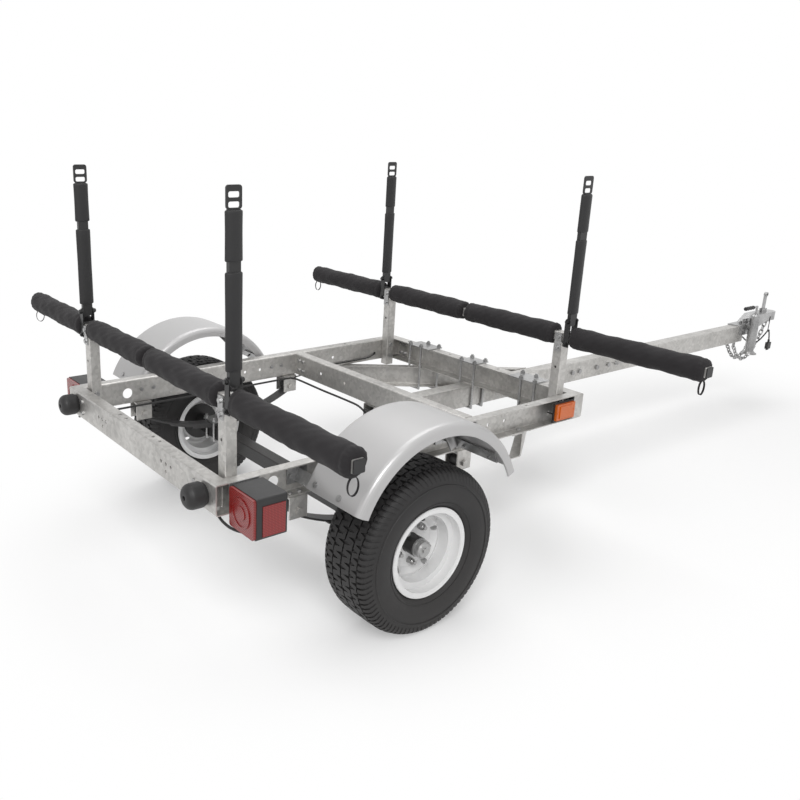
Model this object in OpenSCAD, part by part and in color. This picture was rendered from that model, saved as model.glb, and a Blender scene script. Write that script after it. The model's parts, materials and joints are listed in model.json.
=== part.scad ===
// Two-boat kayak trailer on a galvanised channel frame with padded load bars and folding posts.
// Millimetres, +Z up, +Y towards the coupler, ground at Z = 0.

/* [Frame] */
// Height of the frame channels
channel_h = 89; // [80:1:100]
// Flange width of the side rails and the middle cross member
channel_w = 38; // [34:1:44]
// Steel thickness of the frame channels
channel_t = 3.4; // [3:0.1:4.5]
// Overall width of the frame
frame_w = 1020; // [1010:2:1030]
// Height of the top of the frame above the ground
frame_top = 532; // [525:1:545]
// Distance from the axle back to the face of the rear beam
rear_beam_reach = 585; // [575:1:600]
// Flange width of the rear beam
rear_flange = 42; // [38:1:46]
// Distance from the axle forward to the middle cross member
middle_cross_y = 365; // [350:1:400]
// Distance from the axle forward to the front cross member
front_cross_y = 885; // [875:1:900]
// Flange width of the front cross member
front_flange = 50; // [45:1:55]

/* [Tongue] */
// Width of the tongue tube
tongue_w = 60; // [58:1:62]
// Height of the tongue tube
tongue_h = 88; // [80:1:92]
// Wall thickness of the tongue tube
tongue_t = 3.4; // [3:0.1:4.5]
// Distance from the axle forward to the joint in the tongue
tongue_joint_y = 1616; // [1600:2:1650]
// Distance from the axle forward to the front end of the tongue
tongue_front_y = 2990; // [2980:2:3010]
// Distance from the axle forward to where the braces meet the tongue
brace_front_y = 1250; // [1230:5:1270]
// Distance from the axle forward to where the braces meet the rails
brace_rear_y = 630; // [610:5:650]

/* [Load bars] */
// Width and height of the square load bars
bar_size = 32; // [30:1:34]
// Length of each load bar
bar_length = 1981; // [1960:1:2000]
// Height of the middle of the load bars above the ground
bar_z = 742; // [735:1:755]
// Distance from the face of the rear beam forward to the rear load bar
rear_bar_y = 70; // [65:1:77]
// Distance from the axle forward to the front load bar
front_bar_y = 850; // [845:1:856]
// Outer size of the square uprights
upright_size = 38; // [36:1:38]
// Height of the lower end of the uprights above the ground
upright_bottom = 425; // [420:1:430]
// Diameter of the foam pads on the bars
pad_d = 80; // [74:1:81]
// Gap between the inner pads and the uprights
pad_gap = 1; // [0.5:0.5:6]

/* [Posts] */
// Distance of the posts out from the middle of the uprights
post_x = 32; // [31:1:35]
// Height of the posts' fold pins above the ground
post_pin_z = 800; // [798:1:806]
// Height of the top of the posts above the ground
post_top = 1289; // [1280:1:1300]
// Depth of the post's flat tube along the trailer
post_depth = 34; // [32:1:36]
// Thickness of the post's flat tube across the trailer
post_thick = 14; // [13:1:15]

/* [Wheels] */
// Outer diameter of the tyres
tyre_d = 521; // [515:1:527]
// Width of the tyres
tyre_w = 203; // [198:1:206]
// Distance of the middle of the wheels out from the side of the frame
wheel_x = 125; // [123:1:130]
// Radius of the rim's outer flange
rim_flange_r = 141; // [138:1:144]
// Diameter of the circle of the wheel studs
stud_circle = 114.3; // [110:0.1:118]
// Outer size of the square axle beam
axle_size = 51; // [49:1:52]
// Diameter of the axle's spindles
spindle_d = 25.4; // [24:0.1:28]
// Radius of the fenders
fender_r = 327; // [322:1:332]
// Thickness of the fender sheet
fender_t = 2; // [1.6:0.1:3]
// Height of the ends of the fenders above the ground
fender_end_z = 475; // [465:1:485]
// Radius of the upper face of the spring's main leaf
leaf_r = 700; // [690:5:720]

/* [Front end] */
// Diameter of the hitch ball that the coupler takes
ball_d = 50.8; // [50:0.1:52]
// Distance from the axle forward to the middle of the ball socket
ball_y = 3285; // [3280:1:3295]
// Height of the middle of the ball socket above the ground
ball_z = 456; // [450:1:460]
// Distance of the jack from the middle of the trailer
jack_x = 73; // [72:1:76]
// Distance from the axle forward to the jack
jack_y = 3005; // [3000:1:3012]
// Outer diameter of the jack's tube
jack_d = 48; // [46:1:50]

/* [Fits] */
// Clearance between a shaft and its bore on the radius
run_gap = 0.05; // [0.03:0.01:0.1]
// Clearance of loose fits on each side
loose_gap = 0.3; // [0.2:0.05:0.5]

/* [Hidden] */
$fn = 48;

// Colours
zinc = "#c4c2be";
zinc_light = "#d3d2cf";
silver_paint = "#cfcccd";
black_paint = "#262426";
foam_black = "#332c30";
rubber_black = "#1f1d1e";
lens_red = "#b0332c";
lens_amber = "#e8862a";
rim_white = "#e9e9e7";
bright = "#b9babd";

// Frame places
frame_half = frame_w / 2;
frame_bottom = frame_top - channel_h;
web_x = frame_half - channel_w;
rail_rear_y = -rear_beam_reach + rear_flange;
bend_r = 6;
grommet_hole_r = 19;
grommet_hole_y = -383;
marker_y0 = front_cross_y - 115;
marker_y1 = front_cross_y - 7;
marker_wire_y = marker_y0 + 22;
marker_wire_z = frame_bottom + 30;
light_holes_x = [196, 226, 256];
plate_holes_x = [95, 140];

// Load bar and post places
upright_x = web_x - upright_size / 2;
upright_top = bar_z - bar_size / 2 - 4;
rear_bar_at = rear_bar_y - rear_beam_reach;
post_at = upright_x + post_x;
pad_split = 12;
pad_shift = 3;
bar_half = bar_length / 2;
clamp_half = 11;
clamp_gap = post_depth / 2 + 0.15;
clamp_t = 4;
pin_r = 5;

// Running gear places
axle_z = tyre_d / 2;
hub_x = frame_half + wheel_x;
spring_x = frame_half - 20;
leaf_t = 6;
leaf_w = 45;
leaf_y = 4;
eye_y = 328;
eye_r = 17;
axle_top = axle_z + axle_size / 2;
leaf_centre_z = axle_top + 3 * leaf_t + leaf_r;
eye_centre_r = leaf_r + leaf_t - eye_r;
eye_z = leaf_centre_z - sqrt(pow(eye_centre_r, 2) - pow(eye_y, 2));
fender_y = -18;
fender_z = fender_end_z - 130;
fender_angle = asin((fender_end_z - fender_z) / fender_r);
fender_in = frame_half + 20;
fender_out = frame_half + 260;
fender_lip = 36;
fender_bolts_x = [fender_in + 42, fender_in + 146];
arm_angle = 27;
arm_w = 38;
arm_t = 5;
bracket_t = 4;
hanger_t = 5;
arm_r = sqrt(pow(fender_r - fender_t, 2) - pow(arm_w / 2, 2)) - 0.3;
function arm_y(turn) = fender_y + (arm_r - arm_t / 2) * cos(turn);
function arm_z(turn) = fender_z + (arm_r - arm_t / 2) * sin(turn);

// Front end places
tongue_top = frame_bottom;
tongue_bottom = tongue_top - tongue_h;
coupler_rear_y = tongue_front_y - 50;
coupler_top = tongue_top + 46;
coupler_t = 5;
nose_r = ball_d / 2 + 14;
jack_z = tongue_top + 2;
jack_top = tongue_top + 62;
jack_bottom = tongue_bottom - 22;
jack_wall = 3;

// The origin is the middle of the overall size in plan
bump_length = 60;
front_reach = ball_y + nose_r;
rear_reach = rear_beam_reach + bump_length;
y_shift = (rear_reach - front_reach) / 2;

// Chain sizes and the run of each safety chain
chain_rod = 6;
link_length = 32;
link_width = 17;
link_pitch = link_length - chain_rod - 0.8;
chain_x = 17;
chain_rear_y = 2947;
chain_low_y = 3063;
chain_low_z = 246;
chain_bend = 0.0056;
chain_links = 17;

// Routes of the cords, in the axle's frame
wire_r = 4;
lead_r = 3.5;
lead_route = [[22.8, 2984, 380], [23, 3008, 376], [25, 3050, 352], [30, 3110, 330], [34, 3170, 336],
  [37, 3215, 362], [39, 3245, 384], [39, 3262, 380], [38, 3276, 352], [38, 3282, 330]];
plug_top = 330;
clip_at = [39.2, 3253, 385.4];
coupler_half_w = tongue_w / 2 + coupler_t;
trunk_route = [[0, 364, 400], [0, 352, 410], [-8, 342, 426], [-30, 338, 435], [-60, 338, 437],
  [-150, 338, 437], [-250, 338, 436], [-350, 338, 437], [-420, 338, 437], [-445, 330, 437],
  [-452, 310, 437], [-452, 200, 437], [-452, 80, 436], [-452, -40, 435], [-452, -160, 436],
  [-452, -300, 437], [-452, -400, 437], [-450, -450, 437], [-436, -474, 437], [-426, -490, 437],
  [-424, -520, 437], [-428, -545, 437], [-446, -560, 437], [-470, -562, 434], [-500, -558, 420],
  [-524, -548, 409], [-548, -532, 404], [-564, -514, 405], [-570, -502, 410], [-570, -500, 413.8]];
beam_route = [[-424, -561, 437], [-380, -562, 437], [-300, -562, 436], [-200, -562, 435],
  [-100, -562, 434], [0, -562, 434], [100, -562, 434], [200, -562, 435], [300, -562, 436],
  [400, -562, 437], [470, -562, 434], [500, -558, 420], [524, -548, 409], [548, -532, 404],
  [564, -514, 405], [570, -502, 410], [570, -500, 413.8]];
marker_route = [[442, 338, 437], [450, 346, 437], [456, 362, 437], [460, 382, 437], [464, 406, 438],
  [465, 426, 440], [466, 445, 452], [466, 470, 458], [466, 560, 458], [466, 650, 458], [466, 740, 460],
  [466, 770, 466], [467, 787, 472], [473, 793, 473.3], [490, 793, 473.6], [509, 793, 474]];

function unit(v) = v / norm(v);
function tangent(p, i) = unit(p[min(i + 1, len(p) - 1)] - p[max(i - 1, 0)]);
function square_to(p, i, s) = unit(s - (s * tangent(p, i)) * tangent(p, i));
function sides(p, i, s) = i >= len(p) ? [] :
  let (n = square_to(p, i, s)) concat([n], sides(p, i + 1, n));
function spline(a, b, c, d, t) = 0.5 * (2 * b + (c - a) * t + (2 * a - 5 * b + 4 * c - d) * t * t
  + (3 * b - a - 3 * c + d) * t * t * t);
function smooth(p, k) = concat([for (i = [0:len(p) - 2]) for (j = [0:k - 1])
  spline(p[max(i - 1, 0)], p[i], p[i + 1], p[min(i + 2, len(p) - 1)], j / k)], [p[len(p) - 1]]);

// Puts the axle's frame at its place in the part's frame
module placed() {
  translate([0, y_shift, 0]) children();
}

// Draws the children on the right, or mirrored on the left
module on_side(side) {
  if (side > 0) children();
  else mirror([1, 0, 0]) children();
}

module both_sides() {
  for (side = [-1, 1]) on_side(side) children();
}

// Extrude a drawing of Y and Z along X, or of X and Z along Y
module along_x(l) {
  rotate([90, 0, 90]) linear_extrude(l) children();
}

module along_y(l) {
  translate([0, l, 0]) rotate([90, 0, 0]) linear_extrude(l) children();
}

module cyl_x(r, l) {
  rotate([0, 90, 0]) cylinder(r = r, h = l);
}

module cyl_y(r, l) {
  rotate([-90, 0, 0]) cylinder(r = r, h = l);
}

module box_at(x0, x1, y0, y1, z0, z1) {
  translate([x0, y0, z0]) cube([x1 - x0, y1 - y0, z1 - z0]);
}

// Tube from ring to ring along a list of points
module tube_along(p, r, n, first_side) {
  s = sides(p, 0, first_side);
  last = len(p) - 1;
  rings = [for (i = [0:last]) for (j = [0:n - 1])
    p[i] + r * (cos(360 * j / n) * s[i] + sin(360 * j / n) * cross(tangent(p, i), s[i]))];
  skin = [for (i = [0:last - 1]) for (j = [0:n - 1]) for (k = [0, 1])
    let (a = i * n + j, b = i * n + (j + 1) % n)
    k == 0 ? [a, a + n, b + n] : [a, b + n, b]];
  start_cap = [[for (j = [0:n - 1]) j]];
  end_cap = [[for (j = [n - 1:-1:0]) last * n + j]];
  polyhedron(rings, concat(start_cap, end_cap, skin));
}

// Channel section with its web at x = 0 and round outer bends
module channel_2d(h, w, t, r) {
  difference() {
    round_left_2d(w, h, r);
    translate([t, t]) round_left_2d(w, h - 2 * t, r - t);
  }
}

module round_left_2d(w, h, r) {
  translate([r, 0]) square([w - r, h]);
  translate([0, r]) square([r, h - 2 * r]);
  for (y = [r, h - r]) translate([r, y]) circle(r);
}

module round_rect_2d(w, h, r) {
  square([w - 2 * r, h], center = true);
  square([w, h - 2 * r], center = true);
  for (x = [-1, 1]) for (y = [-1, 1]) translate([x * (w / 2 - r), y * (h / 2 - r)]) circle(r);
}

module tube_2d(w, h, t, r) {
  difference() {
    round_rect_2d(w, h, r);
    round_rect_2d(w - 2 * t, h - 2 * t, max(r - t, 1));
  }
}

module hex_2d(across) {
  c = across / sqrt(3);
  polygon([for (i = [0:5]) [c * cos(60 * i), c * sin(60 * i)]]);
}

// Bolt from the head's seat at z = 0 down through a grip, with a nut beyond it, or the hole for it
module bolt(d, grip, drill) {
  if (drill) translate([0, 0, -grip - 1]) cylinder(r = d / 2 + 0.2, h = grip + 2);
  else {
    linear_extrude(d * 0.62) hex_2d(d * 1.6);
    translate([0, 0, -grip - d * 1.2]) cylinder(r = d / 2, h = grip + d * 1.2 + 1);
    translate([0, 0, -grip - d * 0.8]) linear_extrude(d * 0.8) hex_2d(d * 1.6);
  }
}

// Bolt with its head towards the given direction
module bolt_at(p, dir, d, grip, drill = false) {
  turn = dir == "x" ? [0, 90, 0] : dir == "-x" ? [0, -90, 0] : dir == "y" ? [-90, 0, 0]
    : dir == "-y" ? [90, 0, 0] : dir == "z" ? [0, 0, 0] : [180, 0, 0];
  translate(p) rotate(turn) bolt(d, grip, drill);
}

// Frame

module rear_beam() {
  color(zinc) placed() drilled() difference() {
    translate([-frame_half, -rear_beam_reach, frame_bottom])
      along_x(frame_w) channel_2d(channel_h, rear_flange, channel_t, bend_r);
    both_sides() {
      for (x = light_holes_x)
        translate([x, -rear_beam_reach - 1, frame_bottom + 52]) cyl_y(5.6, channel_t + 2);
      translate([light_holes_x[1], -rear_beam_reach - 1, frame_bottom + 28]) cyl_y(5.6, channel_t + 2);
      for (x = plate_holes_x)
        translate([x, -rear_beam_reach + 26, frame_top - channel_t - 1]) cylinder(r = 5.6, h = channel_t + 2);
    }
  }
}

module rail(side) {
  color(zinc) placed() drilled() on_side(side) difference() {
    translate([web_x, rail_rear_y, frame_bottom])
      along_y(front_cross_y - rail_rear_y) channel_2d(channel_h, channel_w, channel_t, bend_r);
    translate([web_x - 1, grommet_hole_y, frame_bottom + 40]) cyl_x(grommet_hole_r, channel_t + 2);
    translate([web_x - 1, marker_wire_y, marker_wire_z]) cyl_x(7, channel_t + 2);
    for (y = [120, 190, 480, 560])
      translate([web_x - 1, y, frame_bottom + 44]) cyl_x(6, channel_t + 2);
    for (y = [30, brace_rear_y + 10])
      translate([frame_half - 16, y, frame_top - channel_t - 1]) cylinder(r = 5.6, h = channel_t + 2);
  }
}

module middle_cross_member() {
  color(zinc) placed() drilled() difference() {
    translate([-web_x, middle_cross_y, frame_bottom])
      along_x(2 * web_x) channel_2d(channel_h, channel_w, channel_t, bend_r);
    for (x = [-300, -150, 150, 300])
      translate([x, middle_cross_y - 1, frame_bottom + 44]) cyl_y(6, channel_t + 2);
  }
}

module front_cross_member() {
  color(zinc) placed() drilled() {
    difference() {
      translate([-frame_half, front_cross_y + front_flange, frame_bottom])
        along_x(frame_w) mirror([1, 0, 0]) channel_2d(channel_h, front_flange, channel_t, bend_r);
      for (x = [-380, -130, 130, 380])
        translate([x, front_cross_y + 24, frame_top - channel_t - 1]) cylinder(r = 5.6, h = channel_t + 2);
    }
    both_sides()
      box_at(frame_half - 3, frame_half, front_cross_y, front_cross_y + front_flange - 3,
        frame_bottom + channel_t, frame_top - channel_t);
  }
}

// Angle plates inside the channels at the six corners of the frame
module corner_brackets() {
  z0 = frame_bottom + 9;
  z1 = frame_top - 9;
  inner = web_x - bracket_t;
  rear_y = -rear_beam_reach + channel_t;
  middle_y = middle_cross_y + channel_t;
  front_y = front_cross_y + front_flange - channel_t;
  color(zinc_light) placed() drilled() both_sides() {
    box_at(inner - 86, web_x, rear_y, rear_y + bracket_t, z0, z1);
    box_at(inner, web_x, rear_y, rail_rear_y + 6, z0, z1);
    box_at(inner - 62, web_x, middle_y, middle_y + bracket_t, z0, z1);
    box_at(inner, web_x, middle_y, middle_y + 62, z0, z1);
    box_at(inner - 62, web_x, front_y - bracket_t, front_y, z0, z1);
    box_at(inner, web_x, front_cross_y - 12, front_y, z0, z1);
  }
}

module tongue_tube(y0, y1) {
  translate([0, y0, (tongue_top + tongue_bottom) / 2])
    along_y(y1 - y0) tube_2d(tongue_w, tongue_h, tongue_t, 6);
}

module tongue_rear() {
  color(zinc) placed() drilled() difference() {
    tongue_tube(middle_cross_y, tongue_joint_y);
    for (y = [tongue_joint_y - 90, tongue_joint_y - 40])
      translate([-tongue_w, y, tongue_top - 44]) cyl_x(6.5, 2 * tongue_w);
  }
}

module tongue_front() {
  color(zinc) placed() difference() {
    tongue_tube(tongue_joint_y, tongue_front_y);
    for (y = [85, 172, 230])
      translate([-tongue_w, tongue_joint_y + y, tongue_top - 44]) cyl_x(6.5, 2 * tongue_w);
    translate([0, tongue_front_y - 32, tongue_bottom - 1]) cylinder(r = 6.5, h = tongue_t + 2);
  }
}

module tongue_sleeve() {
  sleeve_w = tongue_w - 2 * tongue_t - 2 * loose_gap;
  sleeve_h = tongue_h - 2 * tongue_t - 2 * loose_gap;
  color(zinc_light) placed() difference() {
    translate([0, tongue_joint_y - 140, (tongue_top + tongue_bottom) / 2])
      along_y(400) tube_2d(sleeve_w, sleeve_h, 4, 4);
    for (y = [-90, -40, 85, 172, 230])
      translate([-tongue_w, tongue_joint_y + y, tongue_top - 44]) cyl_x(6.5, 2 * tongue_w);
  }
}

// The braces run under the rails and the front cross member to the sides of the tongue
brace_rear_x = frame_half - 28;
brace_front_x = tongue_w / 2 + 8;
brace_angle = atan((brace_rear_x - brace_front_x) / (brace_front_y - brace_rear_y));
function brace_x(y) = brace_rear_x - (y - brace_rear_y) * tan(brace_angle);

module tongue_braces() {
  color(zinc) placed() drilled() both_sides() {
    intersection() {
      translate([brace_x(brace_rear_y - 100), brace_rear_y - 100, tongue_bottom])
        rotate([0, 0, brace_angle]) translate([-channel_w / 2, 0, 0])
          along_y((brace_front_y - brace_rear_y + 180) / cos(brace_angle)) translate([channel_w, 0]) mirror([1, 0, 0])
            channel_2d(tongue_h, channel_w, channel_t, bend_r);
      box_at(tongue_w / 2 + 4, frame_half, brace_rear_y - 60, brace_front_y + 80,
        tongue_bottom - 1, tongue_top + 1);
    }
    box_at(tongue_w / 2, tongue_w / 2 + 4, brace_front_y - 70, brace_front_y + 70,
      tongue_bottom + 4, tongue_top - 4);
  }
}

// Square U-bolt round a member under the front cross member, its nuts on a plate on top
module square_u_bolt(x, half_span) {
  rod = 5;
  low = tongue_bottom - rod - 0.4;
  plate_z = frame_top + 4;
  for (s = [-1, 1]) translate([x + s * half_span, 0, 0]) {
    translate([0, 0, low]) cylinder(r = rod, h = plate_z - low + 13);
    translate([0, 0, low]) sphere(r = rod);
    translate([0, 0, plate_z]) linear_extrude(8) hex_2d(16);
  }
  translate([x - half_span, 0, low]) cyl_x(rod, 2 * half_span);
}

module brace_u_bolts() {
  rear_leg = front_cross_y - 6.5;
  front_leg = front_cross_y + front_flange + 5.5;
  turned = channel_w / 2 / cos(brace_angle) + 9;
  color(bright) placed() {
    for (y = [rear_leg, front_leg]) {
      translate([0, y, 0]) square_u_bolt(0, tongue_w / 2 + 5.5);
      both_sides() translate([0, y, 0]) square_u_bolt(brace_x(y), turned);
    }
    plate_holder(0, tongue_w / 2 + 14, rear_leg, front_leg);
    both_sides() plate_holder(brace_x((rear_leg + front_leg) / 2), turned + 32, rear_leg, front_leg);
  }
}

module plate_holder(x, half, y0, y1) {
  box_at(x - half, x + half, y0 - 9, y1 + 9, frame_top, frame_top + 4);
}

module frame_bolt_set(drill) {
  mid_z = frame_bottom + 44;
  web_grip = channel_t + bracket_t;
  both_sides() {
    for (z = [mid_z - 20, mid_z + 20]) {
      bolt_at([web_x - 76, -rear_beam_reach, z], "-y", 8, web_grip, drill);
      for (x = [web_x - 24, web_x - 50]) {
        bolt_at([x, middle_cross_y, z], "-y", 8, web_grip, drill);
        bolt_at([x, front_cross_y + front_flange, z], "y", 8, web_grip, drill);
      }
      bolt_at([web_x - bracket_t, middle_cross_y + 48, z], "-x", 8, web_grip, drill);
    }
    for (y = [rear_bar_at, front_bar_y]) for (z = [frame_bottom + 22, frame_top - 18])
      bolt_at([web_x - upright_size, y, z], "-x", 10, upright_size + channel_t, drill);
    bolt_at([web_x + 17, brace_rear_y - 8, tongue_top + channel_t], "z", 10, 2 * channel_t, drill);
    for (y = [-50, 50])
      bolt_at([tongue_w / 2 + 4, brace_front_y + y, tongue_top - 44], "x", 10, 4 + tongue_t, drill);
    for (y = [leaf_y + eye_y, leaf_y - eye_y]) for (s = [-16, 16])
      bolt_at([spring_x + 6, y + s, frame_bottom + channel_t], "z", 8, channel_t + hanger_t, drill);
    for (turn = [arm_angle, 180 - arm_angle]) for (s = [-24, 24])
      bolt_at([web_x + channel_t + arm_t, arm_y(turn) + s, arm_z(turn)], "x", 8, arm_t + channel_t, drill);
  }
  for (x = [-15, 15])
    bolt_at([x, middle_cross_y + 22, tongue_top + channel_t], "z", 10, channel_t + tongue_t, drill);
}

module frame_bolts() {
  color(bright) placed() frame_bolt_set(false);
}

// The first child with the holes for the frame's bolts
module drilled() {
  difference() {
    children();
    frame_bolt_set(true);
  }
}

// Load bars

module uprights() {
  color(zinc) placed() drilled() both_sides() for (y = [rear_bar_at, front_bar_y])
    difference() {
      translate([upright_x, y, upright_bottom])
        linear_extrude(upright_top - upright_bottom) tube_2d(upright_size, upright_size, 3, 4);
      for (z = [upright_top - 18, upright_top - 90])
        translate([upright_x, y - upright_size, z]) cyl_y(4.5, 2 * upright_size);
    }
}

// Saddles that hold the bars on the uprights: a seat, and two cheeks bolted to both
module bar_saddles() {
  x0 = upright_x - upright_size / 2 + 7;
  x1 = web_x;
  half = upright_size / 2;
  cheek_w = 26;
  color(zinc_light) placed() both_sides() for (y = [rear_bar_at, front_bar_y]) translate([0, y, 0]) {
    box_at(x0, x1, -half - 4, half + 4, upright_top, upright_top + 4);
    for (s = [-1, 1]) {
      a = s > 0 ? half : -half - 4;
      box_at(x0, x0 + cheek_w, a, a + 4, upright_top - 32, bar_z + 13);
      for (z = [bar_z, upright_top - 18])
        translate([x0 + cheek_w / 2, s * (half + 4), z]) rotate([s * -90, 0, 0]) linear_extrude(6) hex_2d(13);
      translate([x0 + cheek_w / 2, s > 0 ? bar_size / 2 : -half, bar_z]) cyl_y(8, half - bar_size / 2);
    }
  }
}

module load_bar(y) {
  color(zinc) placed() translate([-bar_half, y, bar_z]) along_x(bar_length)
    tube_2d(bar_size, bar_size, 2.5, 3);
}

module bar_end_plugs() {
  inside = bar_size - 5 - 2 * loose_gap;
  color(rubber_black) placed() both_sides() for (y = [rear_bar_at, front_bar_y])
    translate([bar_half - 22, y, bar_z]) {
      along_x(22) round_rect_2d(inside, inside, 2);
      translate([22, 0, 0]) along_x(4) round_rect_2d(bar_size, bar_size, 3);
    }
}

// Foam pad round the bar from x0 to x1
module pad(x0, x1) {
  r = pad_d / 2;
  soft = 13;
  length = x1 - x0;
  translate([x0, 0, 0]) rotate([0, 90, 0]) difference() {
    rotate_extrude($fn = 72) {
      square([r - soft, length]);
      translate([0, soft]) square([r, length - 2 * soft]);
      for (h = [soft, length - soft]) translate([r - soft, h]) circle(soft);
    }
    translate([-bar_size / 2 - pad_shift - 0.4, -bar_size / 2 - 0.4, -1])
      cube([bar_size + 0.8 + 2 * pad_shift, bar_size + 0.8, length + 2]);
  }
}

module pads(y) {
  color(foam_black) placed() translate([0, y, bar_z + pad_shift]) both_sides() {
    pad(pad_split / 2, web_x - upright_size - pad_gap);
    pad(post_at + clamp_half + 2, bar_half - 3);
  }
}

// Wheel arches and lamps

// Points along an arc, and the outline of a fender sheet with radius along X and width along Y
function arc(x, y, r, a0, a1) = [for (i = [0:6]) let (a = a0 + (a1 - a0) * i / 6) [x + r * cos(a), y + r * sin(a)]];
function fender_outline(r, x0, x1, depth, t, soft) = concat([[r - depth, x0]],
  arc(r - soft, x0 + soft, soft, -90, 0), arc(r - soft, x1 - soft, soft, 0, 90),
  [[r - depth, x1], [r - depth, x1 - t]], arc(r - soft, x1 - soft, soft - t, 90, 0),
  arc(r - soft, x0 + soft, soft - t, 0, -90), [[r - depth, x0 + t]]);

module fender_sheet() {
  bead = 3;
  translate([0, fender_y, fender_z]) rotate([90, 0, 90]) rotate([0, 0, fender_angle]) {
      rotate_extrude(angle = 180 - 2 * fender_angle, $fn = 120)
        polygon(fender_outline(fender_r, fender_in, fender_out, fender_lip, fender_t, 20));
      for (x = [fender_in + bead + 1, fender_out - bead - 1])
        rotate_extrude(angle = 180 - 2 * fender_angle, $fn = 120)
          translate([fender_r - fender_lip + 2, x]) circle(bead);
    }
}

module fender(side) {
  color(silver_paint) placed() on_side(side) difference() {
    fender_sheet();
    for (turn = [arm_angle, 180 - arm_angle]) translate([0, fender_y, fender_z]) rotate([turn, 0, 0]) {
      box_at(fender_in - 1, fender_in + 22, arm_r - arm_t - loose_gap, arm_r + loose_gap,
        -arm_w / 2 - loose_gap, arm_w / 2 + loose_gap);
      for (x = fender_bolts_x) translate([x, arm_r, 0]) cyl_y(4.3, fender_r - arm_r + 2);
    }
  }
}

// Arms that carry the fenders, and the plates behind the tail lamps
module side_brackets() {
  foot = web_x + channel_t;
  color(zinc_light) placed() both_sides() {
    for (turn = [arm_angle, 180 - arm_angle]) {
      difference() {
        union() {
          translate([0, fender_y, fender_z]) rotate([turn, 0, 0])
            box_at(foot, fender_in + 170, arm_r - arm_t, arm_r, -arm_w / 2, arm_w / 2);
          box_at(foot, foot + arm_t, arm_y(turn) - 34, arm_y(turn) + 34, arm_z(turn) - 24, arm_z(turn) + 24);
        }
        frame_bolt_set(true);
      }
      for (x = fender_bolts_x) translate([x, fender_y, fender_z]) rotate([turn, 0, 0]) {
        translate([0, fender_r + 0.2, 0]) cyl_y(9, 3);
        translate([0, arm_r - arm_t - 8, 0]) cyl_y(4, fender_r - arm_r + arm_t + 9);
      }
    }
    box_at(frame_half, frame_half + 4, rear_bar_at - 30, rear_bar_at + 60, frame_bottom - 8, frame_top);
  }
}

lamp_x0 = frame_half + 4;
lamp_x1 = frame_half + 126;
lamp_y0 = -rear_beam_reach + 45;
lamp_y1 = lamp_y0 + 94;
lamp_z0 = 414;
lamp_z1 = 530;

module lamp_housings() {
  color(rubber_black) placed() both_sides() {
    difference() {
      translate([(lamp_x0 + lamp_x1) / 2, lamp_y0, (lamp_z0 + lamp_z1) / 2])
        along_y(lamp_y1 - lamp_y0) round_rect_2d(lamp_x1 - lamp_x0, lamp_z1 - lamp_z0, 8);
      box_at(lamp_x1 - 4, lamp_x1 + 1, lamp_y0 + 18, lamp_y1 - 6, lamp_z0 + 9, lamp_z1 - 22);
    }
    for (z = [lamp_z0 + 46, lamp_z0 + 70])
      translate([lamp_x0 + 40, lamp_y1, z]) cyl_y(5, 12);
    difference() {
      box_at(frame_half, frame_half + 5, marker_y0, marker_y1, frame_bottom + 9, frame_top - 10);
      translate([frame_half - 1, marker_wire_y, marker_wire_z]) cyl_x(4.2, 3);
    }
  }
}

module tail_lamp_lenses() {
  cx = (lamp_x0 + lamp_x1) / 2;
  cz = (lamp_z0 + lamp_z1) / 2;
  color(lens_red) placed() both_sides() {
    translate([cx, lamp_y0 - 8, cz]) along_y(8) round_rect_2d(lamp_x1 - lamp_x0 - 4, lamp_z1 - lamp_z0 - 4, 8);
    translate([cx, lamp_y0 - 11, cz]) difference() {
      cyl_y(42, 4);
      translate([0, -1, 0]) cyl_y(36, 3);
    }
    translate([cx, lamp_y0 - 11, cz]) cyl_y(20, 4);
    box_at(lamp_x1 - 4, lamp_x1 + 2, lamp_y0 + 18, lamp_y1 - 6, lamp_z0 + 9, lamp_z1 - 22);
  }
}

module side_marker_lenses() {
  x0 = frame_half + 5;
  color(lens_amber) placed() both_sides() {
    box_at(x0, x0 + 10, marker_y0 + 6, marker_y1 - 6, frame_bottom + 15, frame_top - 16);
    box_at(x0 + 10, x0 + 13, marker_y0 + 20, marker_y1 - 20, frame_bottom + 22, frame_top - 23);
    for (y = [marker_y0 + 10, marker_y1 - 10]) translate([x0 + 10, y, frame_bottom + 44]) cyl_x(3, 1.5);
  }
}

module bump_stops() {
  outline = concat([[0, 0], [30, 0], [36, 12]], arc(14, bump_length - 22, 22, 0, 90),
    [[8, bump_length], [6, bump_length - 2], [6, 22], [0, 22]]);
  color(rubber_black) placed() both_sides()
    translate([web_x - 26, -rear_beam_reach, frame_bottom + 45]) rotate([90, 0, 0])
      rotate_extrude($fn = 72) polygon(outline);
}

// Running gear

module spring_hangers() {
  gap = leaf_w / 2 + loose_gap;
  plate = hanger_t;
  color(zinc_light) placed() drilled() both_sides() translate([spring_x, 0, 0]) {
    for (y = [leaf_y + eye_y, leaf_y - eye_y]) {
      box_at(-gap - plate, gap + plate, y - 30, y + 30, frame_bottom - plate, frame_bottom);
      for (x = [-gap - plate, gap]) difference() {
        box_at(x, x + plate, y - 30, y + 30, eye_z - 22, frame_bottom - plate);
        translate([x - 1, y, eye_z]) cyl_x(7, plate + 2);
      }
      translate([-gap - plate - 8, y, eye_z]) cyl_x(7 - run_gap, 2 * (gap + plate) + 16);
      for (s = [-1, 1]) translate([s * (gap + plate), y, eye_z]) rotate([0, s * 90, 0])
        linear_extrude(8) hex_2d(21);
    }
  }
}

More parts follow.
